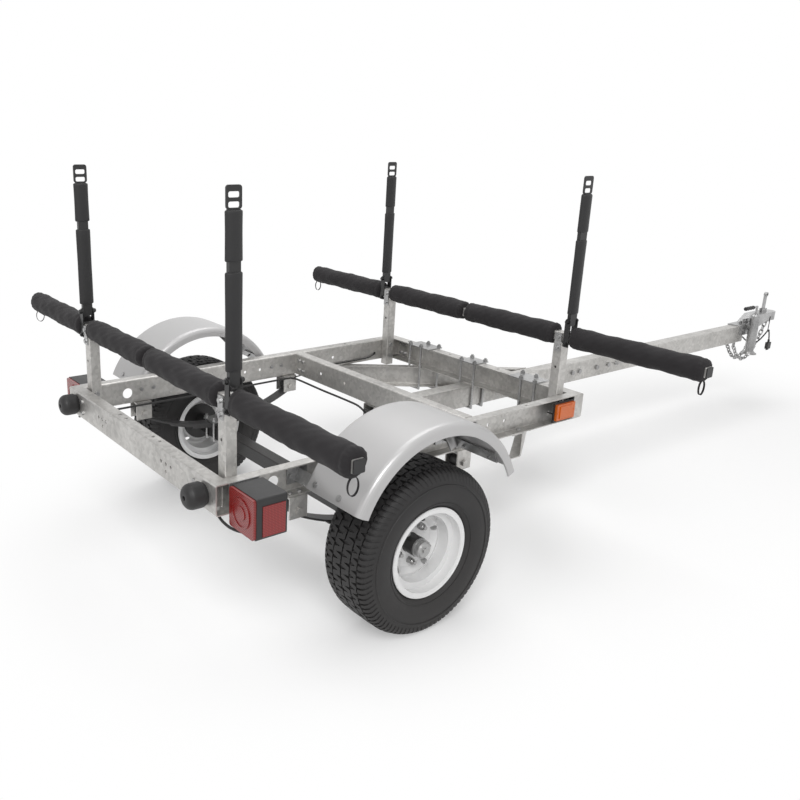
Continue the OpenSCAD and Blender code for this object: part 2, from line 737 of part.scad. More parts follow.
module leaf(r, half_angle) {
  translate([0, leaf_y, leaf_centre_z]) rotate([90, 0, 90]) rotate([0, 0, 270 - half_angle])
    rotate_extrude(angle = 2 * half_angle, $fn = 160)
      translate([r, -leaf_w / 2]) square([leaf_t, leaf_w]);
}

module leaf_springs() {
  main_half = asin(eye_y / (leaf_r + leaf_t));
  color("#8f8f90") placed() both_sides() translate([spring_x, 0, 0]) {
    difference() {
      union() {
        leaf(leaf_r, main_half);
        for (s = [-1, 1]) translate([-leaf_w / 2, leaf_y + s * eye_y, eye_z]) cyl_x(eye_r, leaf_w);
      }
      for (s = [-1, 1]) translate([-leaf_w / 2 - 1, leaf_y + s * eye_y, eye_z]) cyl_x(7.6, leaf_w + 2);
    }
    leaf(leaf_r + leaf_t, 17.5);
    leaf(leaf_r + 2 * leaf_t, 10);
  }
}

module axle_beam() {
  beam_half = hub_x - 82;
  color(black_paint) placed() {
    translate([-beam_half, 0, axle_z]) along_x(2 * beam_half) tube_2d(axle_size, axle_size, 5, 4);
    both_sides() {
      translate([beam_half - 60, 0, axle_z]) cyl_x(20, 66);
      translate([beam_half + 6, 0, axle_z]) cyl_x(spindle_d / 2, 96);
    }
  }
}

// U-bolts that hold the springs on the axle
module axle_u_bolts() {
  rod = 5;
  half_x = leaf_w / 2 + rod + 0.5;
  half_y = axle_size / 2 + rod + 0.4;
  top = leaf_centre_z - sqrt(pow(leaf_r, 2) - pow(half_y + 9 + leaf_y, 2));
  low = axle_z - axle_size / 2 - rod - 0.3;
  color(bright) placed() both_sides() translate([spring_x, 0, 0]) {
    box_at(-half_x - 9, half_x + 9, -half_y - 9, half_y + 9, top + 0.3, top + 7);
    for (x = [-half_x, half_x]) {
      for (y = [-half_y, half_y]) translate([x, y, 0]) {
        translate([0, 0, low]) cylinder(r = rod, h = top + 22 - low);
        translate([0, 0, low]) sphere(r = rod);
        translate([0, 0, top + 7]) linear_extrude(8) hex_2d(16);
      }
      translate([x, -half_y, low]) cyl_y(rod, 2 * half_y);
    }
  }
}

// Wheels, drawn about their own middle with the outer side towards +X

module wheel_at(side) {
  on_side(side) translate([hub_x, 0, axle_z]) rotate([0, 90, 0]) children();
}

module tyre(side) {
  r = tyre_d / 2;
  w = tyre_w / 2;
  bead = rim_flange_r - 13;
  color(rubber_black) placed() wheel_at(side) rotate_extrude($fn = 144) difference() {
    union() {
      translate([r - 40, -w + 24]) square([40 - 7, 2 * w - 48]);
      translate([r - 30, -w + 30]) square([30, 2 * w - 60]);
      for (s = [-1, 1]) {
        translate([r - 30, s * (w - 30)]) circle(30);
        translate([r - 62, s * (w - 36)]) circle(36);
        translate([bead, s > 0 ? w - 50 : -w + 20]) square([r - 62 - bead, 30]);
      }
    }
    translate([bead - 1, -w + 33]) square([r - bead - 18, 2 * w - 66]);
    for (s = [-1, 1]) translate([r - 62, s * (w - 40)]) circle(24);
    for (y = [-34, 0, 34]) translate([r - 7, y - 2.5]) square([8, 5]);
    for (s = [-1, 1]) translate([bead - 1, s > 0 ? w - 22.3 : -w - 1]) square([rim_flange_r + 2 - bead, 23.3]);
  }
}

module rim(side) {
  f = rim_flange_r;
  edge = tyre_w / 2 - 18;
  bead = f - 13.3;
  color(rim_white) placed() wheel_at(side) difference() {
    union() {
      rotate_extrude($fn = 120) {
        for (s = [-1, 1]) {
          translate([bead, s > 0 ? edge - 4 : -edge]) square([13.3 - 3, 4]);
          translate([f - 3, s * (edge - 1)]) circle(3);
          translate([bead - 4, s > 0 ? edge - 30 : -edge]) square([4, 30]);
          translate([f - 37, s > 0 ? edge - 34 : -edge + 30]) square([23.7, 4]);
        }
        translate([f - 37, -edge + 30]) square([4, 2 * edge - 60]);
      }
      rotate_extrude($fn = 120)
        polygon([[31, 0], [78, 0], [94, 16], [f - 35, 12], [f - 35, 8], [95, 12], [80, -4], [31, -4]]);
    }
    for (i = [0:4]) rotate([0, 0, 72 * i]) {
      translate([stud_circle / 2, 0, -6]) cylinder(r = 6.6, h = 10);
      rotate([0, 0, 36]) translate([90, 0, -10]) cylinder(r = 9, h = 40);
    }
    rotate([0, 0, 150]) translate([f - 18, 0, edge - 20]) rotate([0, 75, 0]) cylinder(r = 4, h = 40, center = true);
  }
}

module hub(side) {
  color(black_paint) placed() wheel_at(side) difference() {
    union() {
      translate([0, 0, -70]) cylinder(r = 33, h = 66);
      translate([0, 0, -14]) cylinder(r = 72, h = 10);
      translate([0, 0, -5]) cylinder(r = 30, h = 44);
    }
    translate([0, 0, -71]) cylinder(r = spindle_d / 2 + run_gap, h = 96);
    translate([0, 0, 24]) cylinder(r = 24, h = 20);
  }
}

module wheel_hardware(side) {
  color(bright) placed() wheel_at(side) {
    for (i = [0:4]) rotate([0, 0, 72 * i]) translate([stud_circle / 2, 0, 0]) {
      translate([0, 0, -4]) cylinder(r = 6.3, h = 32);
      linear_extrude(18) hex_2d(19);
      translate([0, 0, 17.8]) cylinder(r1 = 9, r2 = 6.3, h = 3.4);
    }
    translate([0, 0, 39]) cylinder(r = 29, h = 6);
    translate([0, 0, 44]) cylinder(r = 26, h = 16);
    translate([0, 0, 59]) cylinder(r1 = 26, r2 = 21, h = 5);
    translate([0, 0, 63]) cylinder(r = 8, h = 4);
  }
}

// Posts that fold outward on the load bars

module at_post(side, y) {
  on_side(side) translate([post_at, y, 0]) children();
}

module post(side, y) {
  plate_h = 58;
  plate_w = 45;
  color(black_paint) placed() at_post(side, y) difference() {
    union() {
      translate([-post_thick / 2, 0, post_pin_z]) rotate([0, 90, 0]) cylinder(r = post_depth / 2, h = post_thick);
      box_at(-post_thick / 2, post_thick / 2, -post_depth / 2, post_depth / 2, post_pin_z, post_top - plate_h);
      translate([-2.5, 0, post_top - plate_h / 2]) along_x(5) round_rect_2d(plate_w, plate_h, 8);
    }
    translate([0, -post_depth, post_pin_z]) cyl_y(pin_r + run_gap, 2 * post_depth);
    for (z = [post_top - 23, post_top - 47])
      translate([-4, 0, z]) along_x(8) round_rect_2d(33, 14.5, 5);
  }
}

module sleeve_pair(side, y) {
  lower = [post_pin_z + 26, 1079];
  upper = [1105, 1229];
  color(foam_black) placed() at_post(side, y) for (span = [lower, upper])
    translate([0, 0, span[0]]) linear_extrude(span[1] - span[0]) difference() {
      round_rect_2d(26, 50, 12.5);
      square([post_thick + 0.2, post_depth + 0.2], center = true);
    }
}

module post_clamps() {
  half_y = clamp_gap + clamp_t;
  bar_bottom = bar_z - bar_size / 2;
  bar_top = bar_z + bar_size / 2;
  bolt_z = bar_bottom - 7;
  color(black_paint) placed() both_sides() for (y = [rear_bar_at, front_bar_y])
    translate([post_at, y, 0]) {
      box_at(-clamp_half, clamp_half, -half_y, half_y, bar_top, bar_top + clamp_t);
      for (s = [-1, 1]) {
        a = s > 0 ? clamp_gap : -half_y;
        difference() {
          union() {
            box_at(-clamp_half, clamp_half, a, a + clamp_t, bar_bottom - 16, post_pin_z);
            translate([0, a, post_pin_z]) cyl_y(clamp_half, clamp_t);
          }
          translate([0, a - 1, post_pin_z]) cyl_y(pin_r + run_gap, clamp_t + 2);
        }
      }
      translate([0, -half_y - 3, post_pin_z]) cyl_y(pin_r, 2 * half_y + 6);
      translate([0, -half_y - 9, bolt_z]) cyl_y(3.5, 2 * half_y + 14);
      translate([0, half_y, bolt_z]) cyl_y(11, 12);
      translate([0, -half_y - 6, bolt_z]) cyl_y(7, 6);
      for (s = [-1, 1]) translate([0, s * half_y, post_pin_z]) rotate([s * -90, 0, 0]) {
        linear_extrude(6) hex_2d(14);
        translate([0, 0, 5]) cylinder(r = 6, h = 4);
      }
    }
}

module tongue_pins() {
  z = tongue_top - 44;
  half = tongue_w / 2;
  pin_y = tongue_joint_y + 230;
  color(bright) placed() {
    for (y = [-90, -40, 85, 172]) bolt_at([half, tongue_joint_y + y, z], "x", 12, tongue_w);
    translate([-half - 16, pin_y, z]) cyl_x(6, tongue_w + 32);
    translate([half, pin_y, z]) cyl_x(10, 5);
    translate([half + 12, pin_y - 16, z]) cyl_y(2, 100);
  }
}

// Front end

module coupler_side_2d(inset) {
  low = tongue_top - 46;
  nose = ball_y + nose_r;
  polygon([[coupler_rear_y - inset, low], [coupler_rear_y - inset, tongue_top + coupler_t - inset],
    [tongue_front_y + 45, tongue_top + coupler_t - inset], [tongue_front_y + 110, coupler_top - inset],
    [nose, coupler_top - inset], [nose, ball_z - 12], [ball_y - 60, ball_z - 12], [tongue_front_y + 60, low]]);
}

module coupler_plan_2d(inset) {
  half = tongue_w / 2 + coupler_t - inset;
  translate([-half, coupler_rear_y - 1]) square([2 * half, ball_y - coupler_rear_y + 1]);
  translate([0, ball_y]) circle(nose_r - inset);
}

module coupler_solid(inset) {
  intersection() {
    translate([-60, 0, 0]) along_x(120) coupler_side_2d(inset);
    translate([0, 0, tongue_bottom]) linear_extrude(200) coupler_plan_2d(inset);
  }
}

module coupler_body() {
  nut_y = tongue_front_y + 18;
  color(zinc_light) placed() {
    difference() {
      coupler_solid(0);
      difference() {
        translate([0, 0, -1]) coupler_solid(coupler_t);
        translate([0, ball_y, ball_z - 30]) cylinder(r = nose_r, h = 80);
      }
      translate([0, ball_y, ball_z]) sphere(r = ball_d / 2 + 0.4, $fn = 72);
      translate([0, ball_y, ball_z - 40]) cylinder(r = ball_d / 2 + 0.4, h = 40);
      box_at(-8, 8, ball_y - 62, ball_y - 20, ball_z - 20, coupler_top - coupler_t - 4);
      box_at(-tongue_w / 2, tongue_w / 2, coupler_rear_y - 1, tongue_front_y + 1, tongue_bottom, tongue_top);
    }
    both_sides() box_at(5, 11, ball_y - 76, ball_y - 36, coupler_top, coupler_top + 20);
    translate([-13, ball_y - 56, coupler_top + 11]) cyl_x(4, 26);
    translate([-8.5, ball_y - 46, ball_z + 6]) cyl_x(3, 17);
    translate([0, nut_y, tongue_top + coupler_t]) {
      linear_extrude(9) hex_2d(19);
      cylinder(r = 6, h = 14);
    }
    for (y = [-22, 28]) translate([-tongue_w / 2 - coupler_t, tongue_front_y + y, tongue_top - 22])
      rotate([0, -90, 0]) linear_extrude(7) hex_2d(18);
  }
}

module coupler_lever() {
  color(zinc_light) placed() difference() {
    union() {
      box_at(-4.6, 4.6, ball_y - 66, ball_y - 46, coupler_top + 11, coupler_top + 96);
      translate([-4.6, ball_y - 56, coupler_top + 11]) cyl_x(10, 9.2);
      translate([-7, ball_y - 52, coupler_top + 98]) cyl_x(12, 14);
    }
    translate([-6, ball_y - 56, coupler_top + 11]) cyl_x(4 + run_gap, 12);
    translate([-9, ball_y - 52, coupler_top + 98]) cyl_x(6, 18);
  }
}

module coupler_jaw() {
  color(bright) placed() difference() {
    union() {
      box_at(-6, 6, ball_y - 55, ball_y - 35, ball_z - 16, ball_z + 6);
      translate([-6, ball_y - 46, ball_z + 6]) cyl_x(6, 12);
    }
    translate([-7, ball_y - 46, ball_z + 6]) cyl_x(3 + run_gap, 14);
  }
}

function chain_z(y) = chain_low_z + chain_bend * pow(y - chain_low_y, 2);
function chain_slope(y) = atan(2 * chain_bend * (y - chain_low_y));
function chain_ys(y, n) = n == 0 ? [] :
  let (half = link_pitch / 2 * cos(chain_slope(y)), m = y + half)
  concat([y], chain_ys(y + link_pitch * cos(chain_slope(m)), n - 1));

module chain_link() {
  bend = link_width / 2;
  straight = link_length - link_width;
  for (s = [-1, 1]) {
    translate([s * straight / 2, 0, 0]) rotate([0, 0, s > 0 ? -90 : 90])
      rotate_extrude(angle = 180, $fn = 24) translate([bend, 0]) circle(chain_rod / 2, $fn = 16);
    translate([-straight / 2, s * bend, 0]) cyl_x(chain_rod / 2, straight);
  }
}

// Eye plate round the end of a chain, up to what carries it
module chain_anchor(y, z, top) {
  difference() {
    union() {
      box_at(-3, 3, y - 10, y + 10, z, top);
      translate([-3, y, z]) cyl_x(10, 6);
    }
    translate([-4, y, z]) cyl_x(5, 8);
  }
}

module safety_chains() {
  ys = chain_ys(chain_rear_y, chain_links);
  first = ys[0];
  last = ys[chain_links - 1];
  reach = link_length / 2 - 1;
  front_eye_y = last + reach * cos(chain_slope(last));
  color(bright) placed() both_sides() translate([chain_x, 0, 0]) {
    for (i = [0:chain_links - 1])
      translate([0, ys[i], chain_z(ys[i])]) rotate([chain_slope(ys[i]), 0, 0]) rotate([0, 0, 90])
        rotate([i % 2 == 0 ? 0 : 90, 0, 0]) chain_link();
    chain_anchor(first - reach * cos(chain_slope(first)), chain_z(first) - reach * sin(chain_slope(first)),
      tongue_bottom);
    chain_anchor(front_eye_y, chain_z(last) + reach * sin(chain_slope(last)), ball_z - 12);
    box_at(3, coupler_half_w - chain_x, front_eye_y - 10, front_eye_y + 10, ball_z - 18, ball_z - 12);
  }
}

module jack_bracket() {
  x0 = tongue_w / 2 + coupler_t;
  color(zinc_light) placed() {
    box_at(x0, x0 + 6, jack_y - 55, jack_y + 35, tongue_top - 48, tongue_top + 42);
    translate([x0 + 6, jack_y, jack_z]) difference() {
      cyl_x(20, jack_x - jack_d / 2 - x0 - 8);
      translate([-1, 0, 0]) cyl_x(9, 20);
    }
    translate([x0 + 5, jack_y, jack_z]) cyl_x(9 - run_gap, jack_x - jack_d / 2 - x0 - 3);
    for (p = [[-42, -22], [22, -22], [-42, 28]])
      translate([x0 + 6, jack_y + p[0], jack_z + p[1]]) rotate([0, 90, 0]) linear_extrude(7) hex_2d(16);
  }
}

module jack_tube() {
  r = jack_d / 2;
  x0 = tongue_w / 2 + coupler_t;
  color(zinc_light) placed() translate([jack_x, jack_y, 0]) {
    difference() {
      union() {
        translate([0, 0, jack_bottom]) cylinder(r = r, h = jack_top - jack_bottom);
        translate([-r - 1.8, 0, jack_z]) cyl_x(22, r);
        translate([0, 0, jack_top - 1]) cylinder(r1 = r + 2, r2 = r - 8, h = 9);
      }
      translate([0, 0, jack_bottom - 1]) cylinder(r = r - jack_wall, h = jack_top - jack_bottom - 5);
      translate([x0 - jack_x, 0, jack_z]) cyl_x(9, jack_x - x0 - r + jack_wall + 1);
      translate([0, 0, jack_top - 8]) cylinder(r = 6 + run_gap, h = 20);
    }
  }
}

module jack_leg() {
  r = jack_d / 2 - jack_wall - loose_gap;
  foot_z = tongue_bottom - 60;
  color(zinc_light) placed() translate([jack_x, jack_y, 0]) {
    translate([0, 0, foot_z]) cylinder(r1 = 38, r2 = 36, h = 4);
    translate([0, 0, foot_z + 4]) cylinder(r1 = 34, r2 = r, h = 12);
    difference() {
      translate([0, 0, foot_z + 15]) cylinder(r = r, h = jack_top - 30 - foot_z);
      translate([0, 0, foot_z + 25]) cylinder(r = 8, h = jack_top - foot_z);
    }
  }
}

module jack_crank() {
  color(bright) placed() translate([jack_x, jack_y, 0]) {
    translate([0, 0, jack_top - 8]) cylinder(r = 6, h = 56);
    translate([0, 0, jack_top + 9]) cylinder(r = 11, h = 6);
    translate([0, 0, jack_top + 48]) sphere(r = 6);
    translate([0, -118, jack_top + 48]) cyl_y(6, 118);
  }
}

module jack_grip() {
  color(rubber_black) placed() translate([jack_x, jack_y - 122, jack_top + 48]) difference() {
    rotate([-90, 0, 0]) rotate_extrude() {
      square([9, 84]);
      for (h = [6, 28, 54, 78]) translate([7, h]) circle(3.5);
    }
    translate([0, 3, 0]) cyl_y(6, 90);
  }
}

// Wiring

module wiring_harness() {
  color(rubber_black) placed() {
    tube_along(smooth(trunk_route, 2), wire_r, 8, [0, 0, 1]);
    tube_along(smooth(beam_route, 3), wire_r, 8, [0, 0, 1]);
    for (s = [-1, 1])
      tube_along([for (p = smooth(marker_route, 2)) [s * p[0], p[1], p[2]]], wire_r * 0.7, 8, [0, 0, 1]);
    tube_along([[8, 338, 434], [150, 338, 436], [300, 338, 436], [400, 338, 437], [444, 339, 437]],
      wire_r * 0.7, 8, [0, 0, 1]);
    lead_clip();
  }
}

// Clip that hangs from the coupler's side and holds the tow lead's high point
module lead_clip() {
  r = lead_r + 0.6;
  difference() {
    union() {
      box_at(coupler_half_w, coupler_half_w + 2, clip_at[1] - 3, clip_at[1] + 3, clip_at[2] + r, clip_at[2] + 80);
      translate([clip_at[0], clip_at[1] - 3, clip_at[2]]) rotate([-90, 0, 0]) cylinder(r = r + 2.4, h = 6);
    }
    translate([clip_at[0], clip_at[1] - 4, clip_at[2]]) rotate([-90, 0, 0]) cylinder(r = r, h = 8);
  }
}

module tow_lead() {
  color(rubber_black) placed() tube_along(smooth(lead_route, 4), lead_r, 8, [1, 0, 0]);
}

module tow_plug() {
  end = lead_route[len(lead_route) - 1];
  color(rubber_black) placed() translate([end[0], end[1], 0]) {
    translate([0, 0, plug_top - 16]) cylinder(r = 6, h = 16);
    box_at(-8, 8, -17, 17, plug_top - 52, plug_top - 15);
  }
  color(bright) placed() for (i = [-1.5:1:1.5])
    translate([end[0], end[1] + i * 8, plug_top - 60]) cylinder(r = 2.2, h = 9);
}

rear_beam();
rail(-1);  // rail_left
rail(1);  // rail_right
middle_cross_member();
front_cross_member();
corner_brackets();
tongue_rear();
tongue_front();
tongue_sleeve();
tongue_braces();
brace_u_bolts();
frame_bolts();
uprights();
bar_saddles();
load_bar(rear_bar_at);  // load_bar_rear
load_bar(front_bar_y);  // load_bar_front
bar_end_plugs();
pads(rear_bar_at);  // pads_rear
pads(front_bar_y);  // pads_front
fender(-1);  // fender_left
fender(1);  // fender_right
side_brackets();
lamp_housings();
tail_lamp_lenses();
side_marker_lenses();
bump_stops();
spring_hangers();
leaf_springs();
axle_beam();
axle_u_bolts();
wiring_harness();
tow_lead();
tow_plug();
coupler_body();
coupler_lever();
coupler_jaw();
safety_chains();
jack_bracket();
jack_tube();
jack_leg();
jack_crank();
jack_grip();
tyre(-1);  // tyre_left
tyre(1);  // tyre_right
rim(-1);  // rim_left
rim(1);  // rim_right
hub(-1);  // hub_left
hub(1);  // hub_right
wheel_hardware(-1);  // wheel_hardware_left
wheel_hardware(1);  // wheel_hardware_right
post(-1, rear_bar_at);  // post_rear_left
post(1, rear_bar_at);  // post_rear_right
post(-1, front_bar_y);  // post_front_left
post(1, front_bar_y);  // post_front_right
sleeve_pair(-1, rear_bar_at);  // sleeves_rear_left
sleeve_pair(1, rear_bar_at);  // sleeves_rear_right
sleeve_pair(-1, front_bar_y);  // sleeves_front_left
sleeve_pair(1, front_bar_y);  // sleeves_front_right
post_clamps();
tongue_pins();
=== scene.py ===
import json
import math
import bmesh
import bpy
from mathutils import Matrix, Vector


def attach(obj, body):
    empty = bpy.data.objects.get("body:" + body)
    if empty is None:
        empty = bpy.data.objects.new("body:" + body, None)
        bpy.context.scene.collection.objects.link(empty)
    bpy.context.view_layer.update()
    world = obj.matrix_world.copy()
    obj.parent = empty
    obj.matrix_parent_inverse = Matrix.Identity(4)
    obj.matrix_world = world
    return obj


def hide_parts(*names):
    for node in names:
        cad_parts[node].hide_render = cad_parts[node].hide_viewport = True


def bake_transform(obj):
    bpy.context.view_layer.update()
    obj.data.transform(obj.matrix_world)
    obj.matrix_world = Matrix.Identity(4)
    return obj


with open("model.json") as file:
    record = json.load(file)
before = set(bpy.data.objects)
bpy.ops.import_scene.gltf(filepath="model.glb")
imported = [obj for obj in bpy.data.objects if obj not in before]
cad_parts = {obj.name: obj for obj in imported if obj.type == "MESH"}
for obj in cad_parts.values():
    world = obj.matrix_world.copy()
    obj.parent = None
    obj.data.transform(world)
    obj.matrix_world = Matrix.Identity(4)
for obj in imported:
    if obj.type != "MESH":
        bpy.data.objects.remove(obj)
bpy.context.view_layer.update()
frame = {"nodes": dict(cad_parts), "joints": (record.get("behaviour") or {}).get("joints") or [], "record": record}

# Places and sizes, in metres, from the frame
MM = 0.001
AXLE = next(j for j in frame["joints"] if j["name"] == "wheel_right_spin")["pos_m"]
Y_SHIFT = AXLE[1]
TYRE_R = AXLE[2]
WHEEL_X = AXLE[0]


def at(x, y, z):
    """A point given in millimetres from the axle's middle on the ground."""
    return Vector((x * MM, y * MM + Y_SHIFT, z * MM))


# Camera, fitted to points read off the photo

CAMERA_PLACE = at(2254.6, -1591.3, 1427.3)
CAMERA_AZIMUTH = math.radians(54.24)
CAMERA_PITCH = math.radians(17.3)
CAMERA_ROLL = math.radians(1.3)
FOCAL_PX = 843.8
IMAGE_PX = 800
OPTICAL_CENTRE_PX = (296.5, 388)


def link(obj):
    bpy.context.scene.collection.objects.link(obj)
    return obj


def add_camera():
    data = bpy.data.cameras.new("camera")
    data.sensor_width = 36
    data.lens = FOCAL_PX / IMAGE_PX * data.sensor_width
    data.shift_x = (IMAGE_PX / 2 - OPTICAL_CENTRE_PX[0]) / IMAGE_PX
    data.shift_y = (OPTICAL_CENTRE_PX[1] - IMAGE_PX / 2) / IMAGE_PX
    camera = link(bpy.data.objects.new("camera", data))
    turn = Matrix.Rotation(CAMERA_AZIMUTH, 4, "Z") @ Matrix.Rotation(math.pi / 2 - CAMERA_PITCH, 4, "X")
    camera.matrix_world = Matrix.Translation(CAMERA_PLACE) @ turn @ Matrix.Rotation(CAMERA_ROLL, 4, "Z")
    bpy.context.scene.camera = camera


add_camera()

# Meshes


def new_object(name, mesh, body):
    obj = link(bpy.data.objects.new(name, mesh))
    if body:
        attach(obj, body)
    return obj


def piece(name, bm, body, smooth=True):
    """Turns a finished bmesh into a piece on a body, or on none yet."""
    bmesh.ops.recalc_face_normals(bm, faces=bm.faces)
    mesh = bpy.data.meshes.new(name)
    bm.to_mesh(mesh)
    bm.free()
    for poly in mesh.polygons:
        poly.use_smooth = smooth
    return new_object(name, mesh, body)


def node_copy(node):
    """A bmesh copy of a CAD node with its doubles merged."""
    bm = bmesh.new()
    bm.from_mesh(frame["nodes"][node].data)
    bmesh.ops.remove_doubles(bm, verts=bm.verts, dist=1e-6)
    return bm


# Cords

LEAD_R = 3.5
LEAD_ROUTE = [(22.8, 2984, 380), (23, 3008, 376), (25, 3050, 352), (30, 3110, 330), (34, 3170, 336),
              (37, 3215, 362), (39, 3245, 384), (39, 3262, 380), (38, 3276, 352), (38, 3282, 330)]


def spline_points(route, steps):
    """Points on a smooth curve through a route, as the solids follow it."""
    points = [at(*p) for p in route]
    line = []
    for i in range(len(points) - 1):
        a = points[max(i - 1, 0)]
        b = points[i]
        c = points[i + 1]
        d = points[min(i + 2, len(points) - 1)]
        for j in range(steps):
            t = j / steps
            line.append(0.5 * (2 * b + (c - a) * t + (2 * a - 5 * b + 4 * c - d) * t * t
                               + (3 * b - a - 3 * c + d) * t * t * t))
    line.append(points[-1])
    return line


def curve_piece(name, line, radius, body):
    data = bpy.data.curves.new(name, "CURVE")
    data.dimensions = "3D"
    data.bevel_depth = 1  # times each point's radius, so that the curve's own box stays tight
    data.bevel_resolution = 3
    data.use_fill_caps = True
    spline = data.splines.new("POLY")
    spline.points.add(len(line) - 1)
    for point, place in zip(spline.points, line):
        point.co = (*place, 1)
        point.radius = radius
    spline.use_smooth = True
    return new_object(name, data, body)


lead_line = spline_points(LEAD_ROUTE, 4)
tow_lead = curve_piece("tow_lead_cable", lead_line, LEAD_R * MM, "frame")
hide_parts("tow_lead")

# Shared shader effects


def new_group(name, inputs, outputs):
    """A shader node group with float inputs (name, default) and outputs (name, socket type)."""
    tree = bpy.data.node_groups.new(name, "ShaderNodeTree")
    tree.interface.new_socket("Vector", in_out="INPUT", socket_type="NodeSocketVector")
    for label, default in inputs:
        socket = tree.interface.new_socket(label, in_out="INPUT", socket_type="NodeSocketFloat")
        socket.default_value = default
    for label, kind in outputs:
        tree.interface.new_socket(label, in_out="OUTPUT", socket_type=kind)
    return tree, tree.nodes.new("NodeGroupInput"), tree.nodes.new("NodeGroupOutput")


def add(tree, kind, settings=None, values=None, links=None):
    """Adds a node: settings are its properties, values its sockets' numbers, links its sockets' sources."""
    node = tree.nodes.new(kind)
    for key, value in (settings or {}).items():
        setattr(node, key, value)
    for key, value in (values or {}).items():
        node.inputs[key].default_value = value
    for key, source in (links or {}).items():
        tree.links.new(source, node.inputs[key])
    return node


def math_node(tree, operation, a, b=None):
    """A Math node whose inputs are sockets or numbers."""
    node = tree.nodes.new("ShaderNodeMath")
    node.operation = operation
    for index, value in enumerate((a, b)):
        if isinstance(value, (int, float)):
            node.inputs[index].default_value = value
        elif value is not None:
            tree.links.new(value, node.inputs[index])
    return node.outputs[0]


def spangle_group():
    """Zinc crystals: flat cells of slightly different brightness, with soft stains over them."""
    tree, given, put = new_group("zinc_spangle", [("Cells", 90), ("Stains", 7)],
                                 [("Tone", "NodeSocketFloat"), ("Stain", "NodeSocketFloat")])
    cells = add(tree, "ShaderNodeTexVoronoi", values={"Randomness": 1.0},
                links={"Vector": given.outputs["Vector"], "Scale": given.outputs["Cells"]})
    split = add(tree, "ShaderNodeSeparateColor", links={"Color": cells.outputs["Color"]})
    stains = add(tree, "ShaderNodeTexNoise", values={"Detail": 6, "Roughness": 0.62},
                 links={"Vector": given.outputs["Vector"], "Scale": given.outputs["Stains"]})
    tree.links.new(split.outputs[0], put.inputs["Tone"])
    tree.links.new(stains.outputs["Fac"], put.inputs["Stain"])
    return tree


def dust_group():
    """Road dust: more near the ground, broken up by noise."""
    tree, given, put = new_group("road_dust", [("Height", 0.35), ("Amount", 0.3)],
                                 [("Mask", "NodeSocketFloat")])
    split = add(tree, "ShaderNodeSeparateXYZ", links={"Vector": given.outputs["Vector"]})
    level = math_node(tree, "DIVIDE", split.outputs["Z"], given.outputs["Height"])
    low = math_node(tree, "SUBTRACT", 1.0, level)
    spots = add(tree, "ShaderNodeTexNoise", values={"Scale": 18, "Detail": 5, "Roughness": 0.7},
                links={"Vector": given.outputs["Vector"]})
    near = add(tree, "ShaderNodeClamp", links={"Value": low})
    mask = math_node(tree, "MULTIPLY", near.outputs[0], spots.outputs["Fac"])
    tree.links.new(math_node(tree, "MULTIPLY", mask, given.outputs["Amount"]), put.inputs["Mask"])
    return tree


def grain_group():
    """Fine moulded or cast grain as a height."""
    tree, given, put = new_group("fine_grain", [("Grain", 900)], [("Height", "NodeSocketFloat")])
    fine = add(tree, "ShaderNodeTexNoise", values={"Detail": 3, "Roughness": 0.6},
               links={"Vector": given.outputs["Vector"], "Scale": given.outputs["Grain"]})
    tree.links.new(fine.outputs["Fac"], put.inputs["Height"])
    return tree


def weave_group():
    """Woven cloth: two crossed sets of threads as a height."""
    tree, given, put = new_group("woven_cloth", [("Threads", 420)],
                                 [("Height", "NodeSocketFloat"), ("Thread", "NodeSocketFloat")])
    split = add(tree, "ShaderNodeSeparateXYZ", links={"Vector": given.outputs["Vector"]})
    turns = math_node(tree, "MULTIPLY", given.outputs["Threads"], math.tau)
    warp = math_node(tree, "SINE", math_node(tree, "MULTIPLY", split.outputs["X"], turns))
    round_the_pad = math_node(tree, "ADD", split.outputs["Y"], split.outputs["Z"])
    weft = math_node(tree, "SINE", math_node(tree, "MULTIPLY", round_the_pad, turns))
    crossed = math_node(tree, "MULTIPLY", warp, weft)
    height = math_node(tree, "ADD", math_node(tree, "MULTIPLY", crossed, 0.5), 0.5)
    slubs = add(tree, "ShaderNodeTexNoise", values={"Scale": 260, "Detail": 4, "Roughness": 0.7},
                links={"Vector": given.outputs["Vector"]})
    tree.links.new(height, put.inputs["Height"])
    tree.links.new(slubs.outputs["Fac"], put.inputs["Thread"])
    return tree


SPANGLE = spangle_group()
DUST = dust_group()
GRAIN = grain_group()
WEAVE = weave_group()

# Materials


def start_material(name, metallic=0.0, coat=0.0, sheen=0.0):
    """A new material with its tree, its shader and the object's coordinates."""
    mat = bpy.data.materials.new(name)
    mat.use_nodes = True
    tree = mat.node_tree
    shader = tree.nodes["Principled BSDF"]
    shader.inputs["Metallic"].default_value = metallic
    shader.inputs["Coat Weight"].default_value = coat
    shader.inputs["Sheen Weight"].default_value = sheen
    coords = tree.nodes.new("ShaderNodeTexCoord").outputs["Object"]
    return mat, tree, shader, coords


def noise(tree, coords, scale, detail, rough):
    """Noise from 0 to 1 over the object."""
    node = add(tree, "ShaderNodeTexNoise", values={"Scale": scale, "Detail": detail, "Roughness": rough},
               links={"Vector": coords})
    return node.outputs["Fac"]


def use_group(tree, group, coords, **values):
    node = tree.nodes.new("ShaderNodeGroup")
    node.node_tree = group
    tree.links.new(coords, node.inputs["Vector"])
    for key, value in values.items():
        node.inputs[key].default_value = value
    return node


def ramp(tree, source, stops):
    """A colour ramp from (place, colour) stops."""
    node = tree.nodes.new("ShaderNodeValToRGB")
    while len(node.color_ramp.elements) < len(stops):
        node.color_ramp.elements.new(0.5)
    for element, (place, colour) in zip(node.color_ramp.elements, stops):
        element.position = place
        element.color = (*colour, 1)
    tree.links.new(source, node.inputs[0])
    return node.outputs[0]


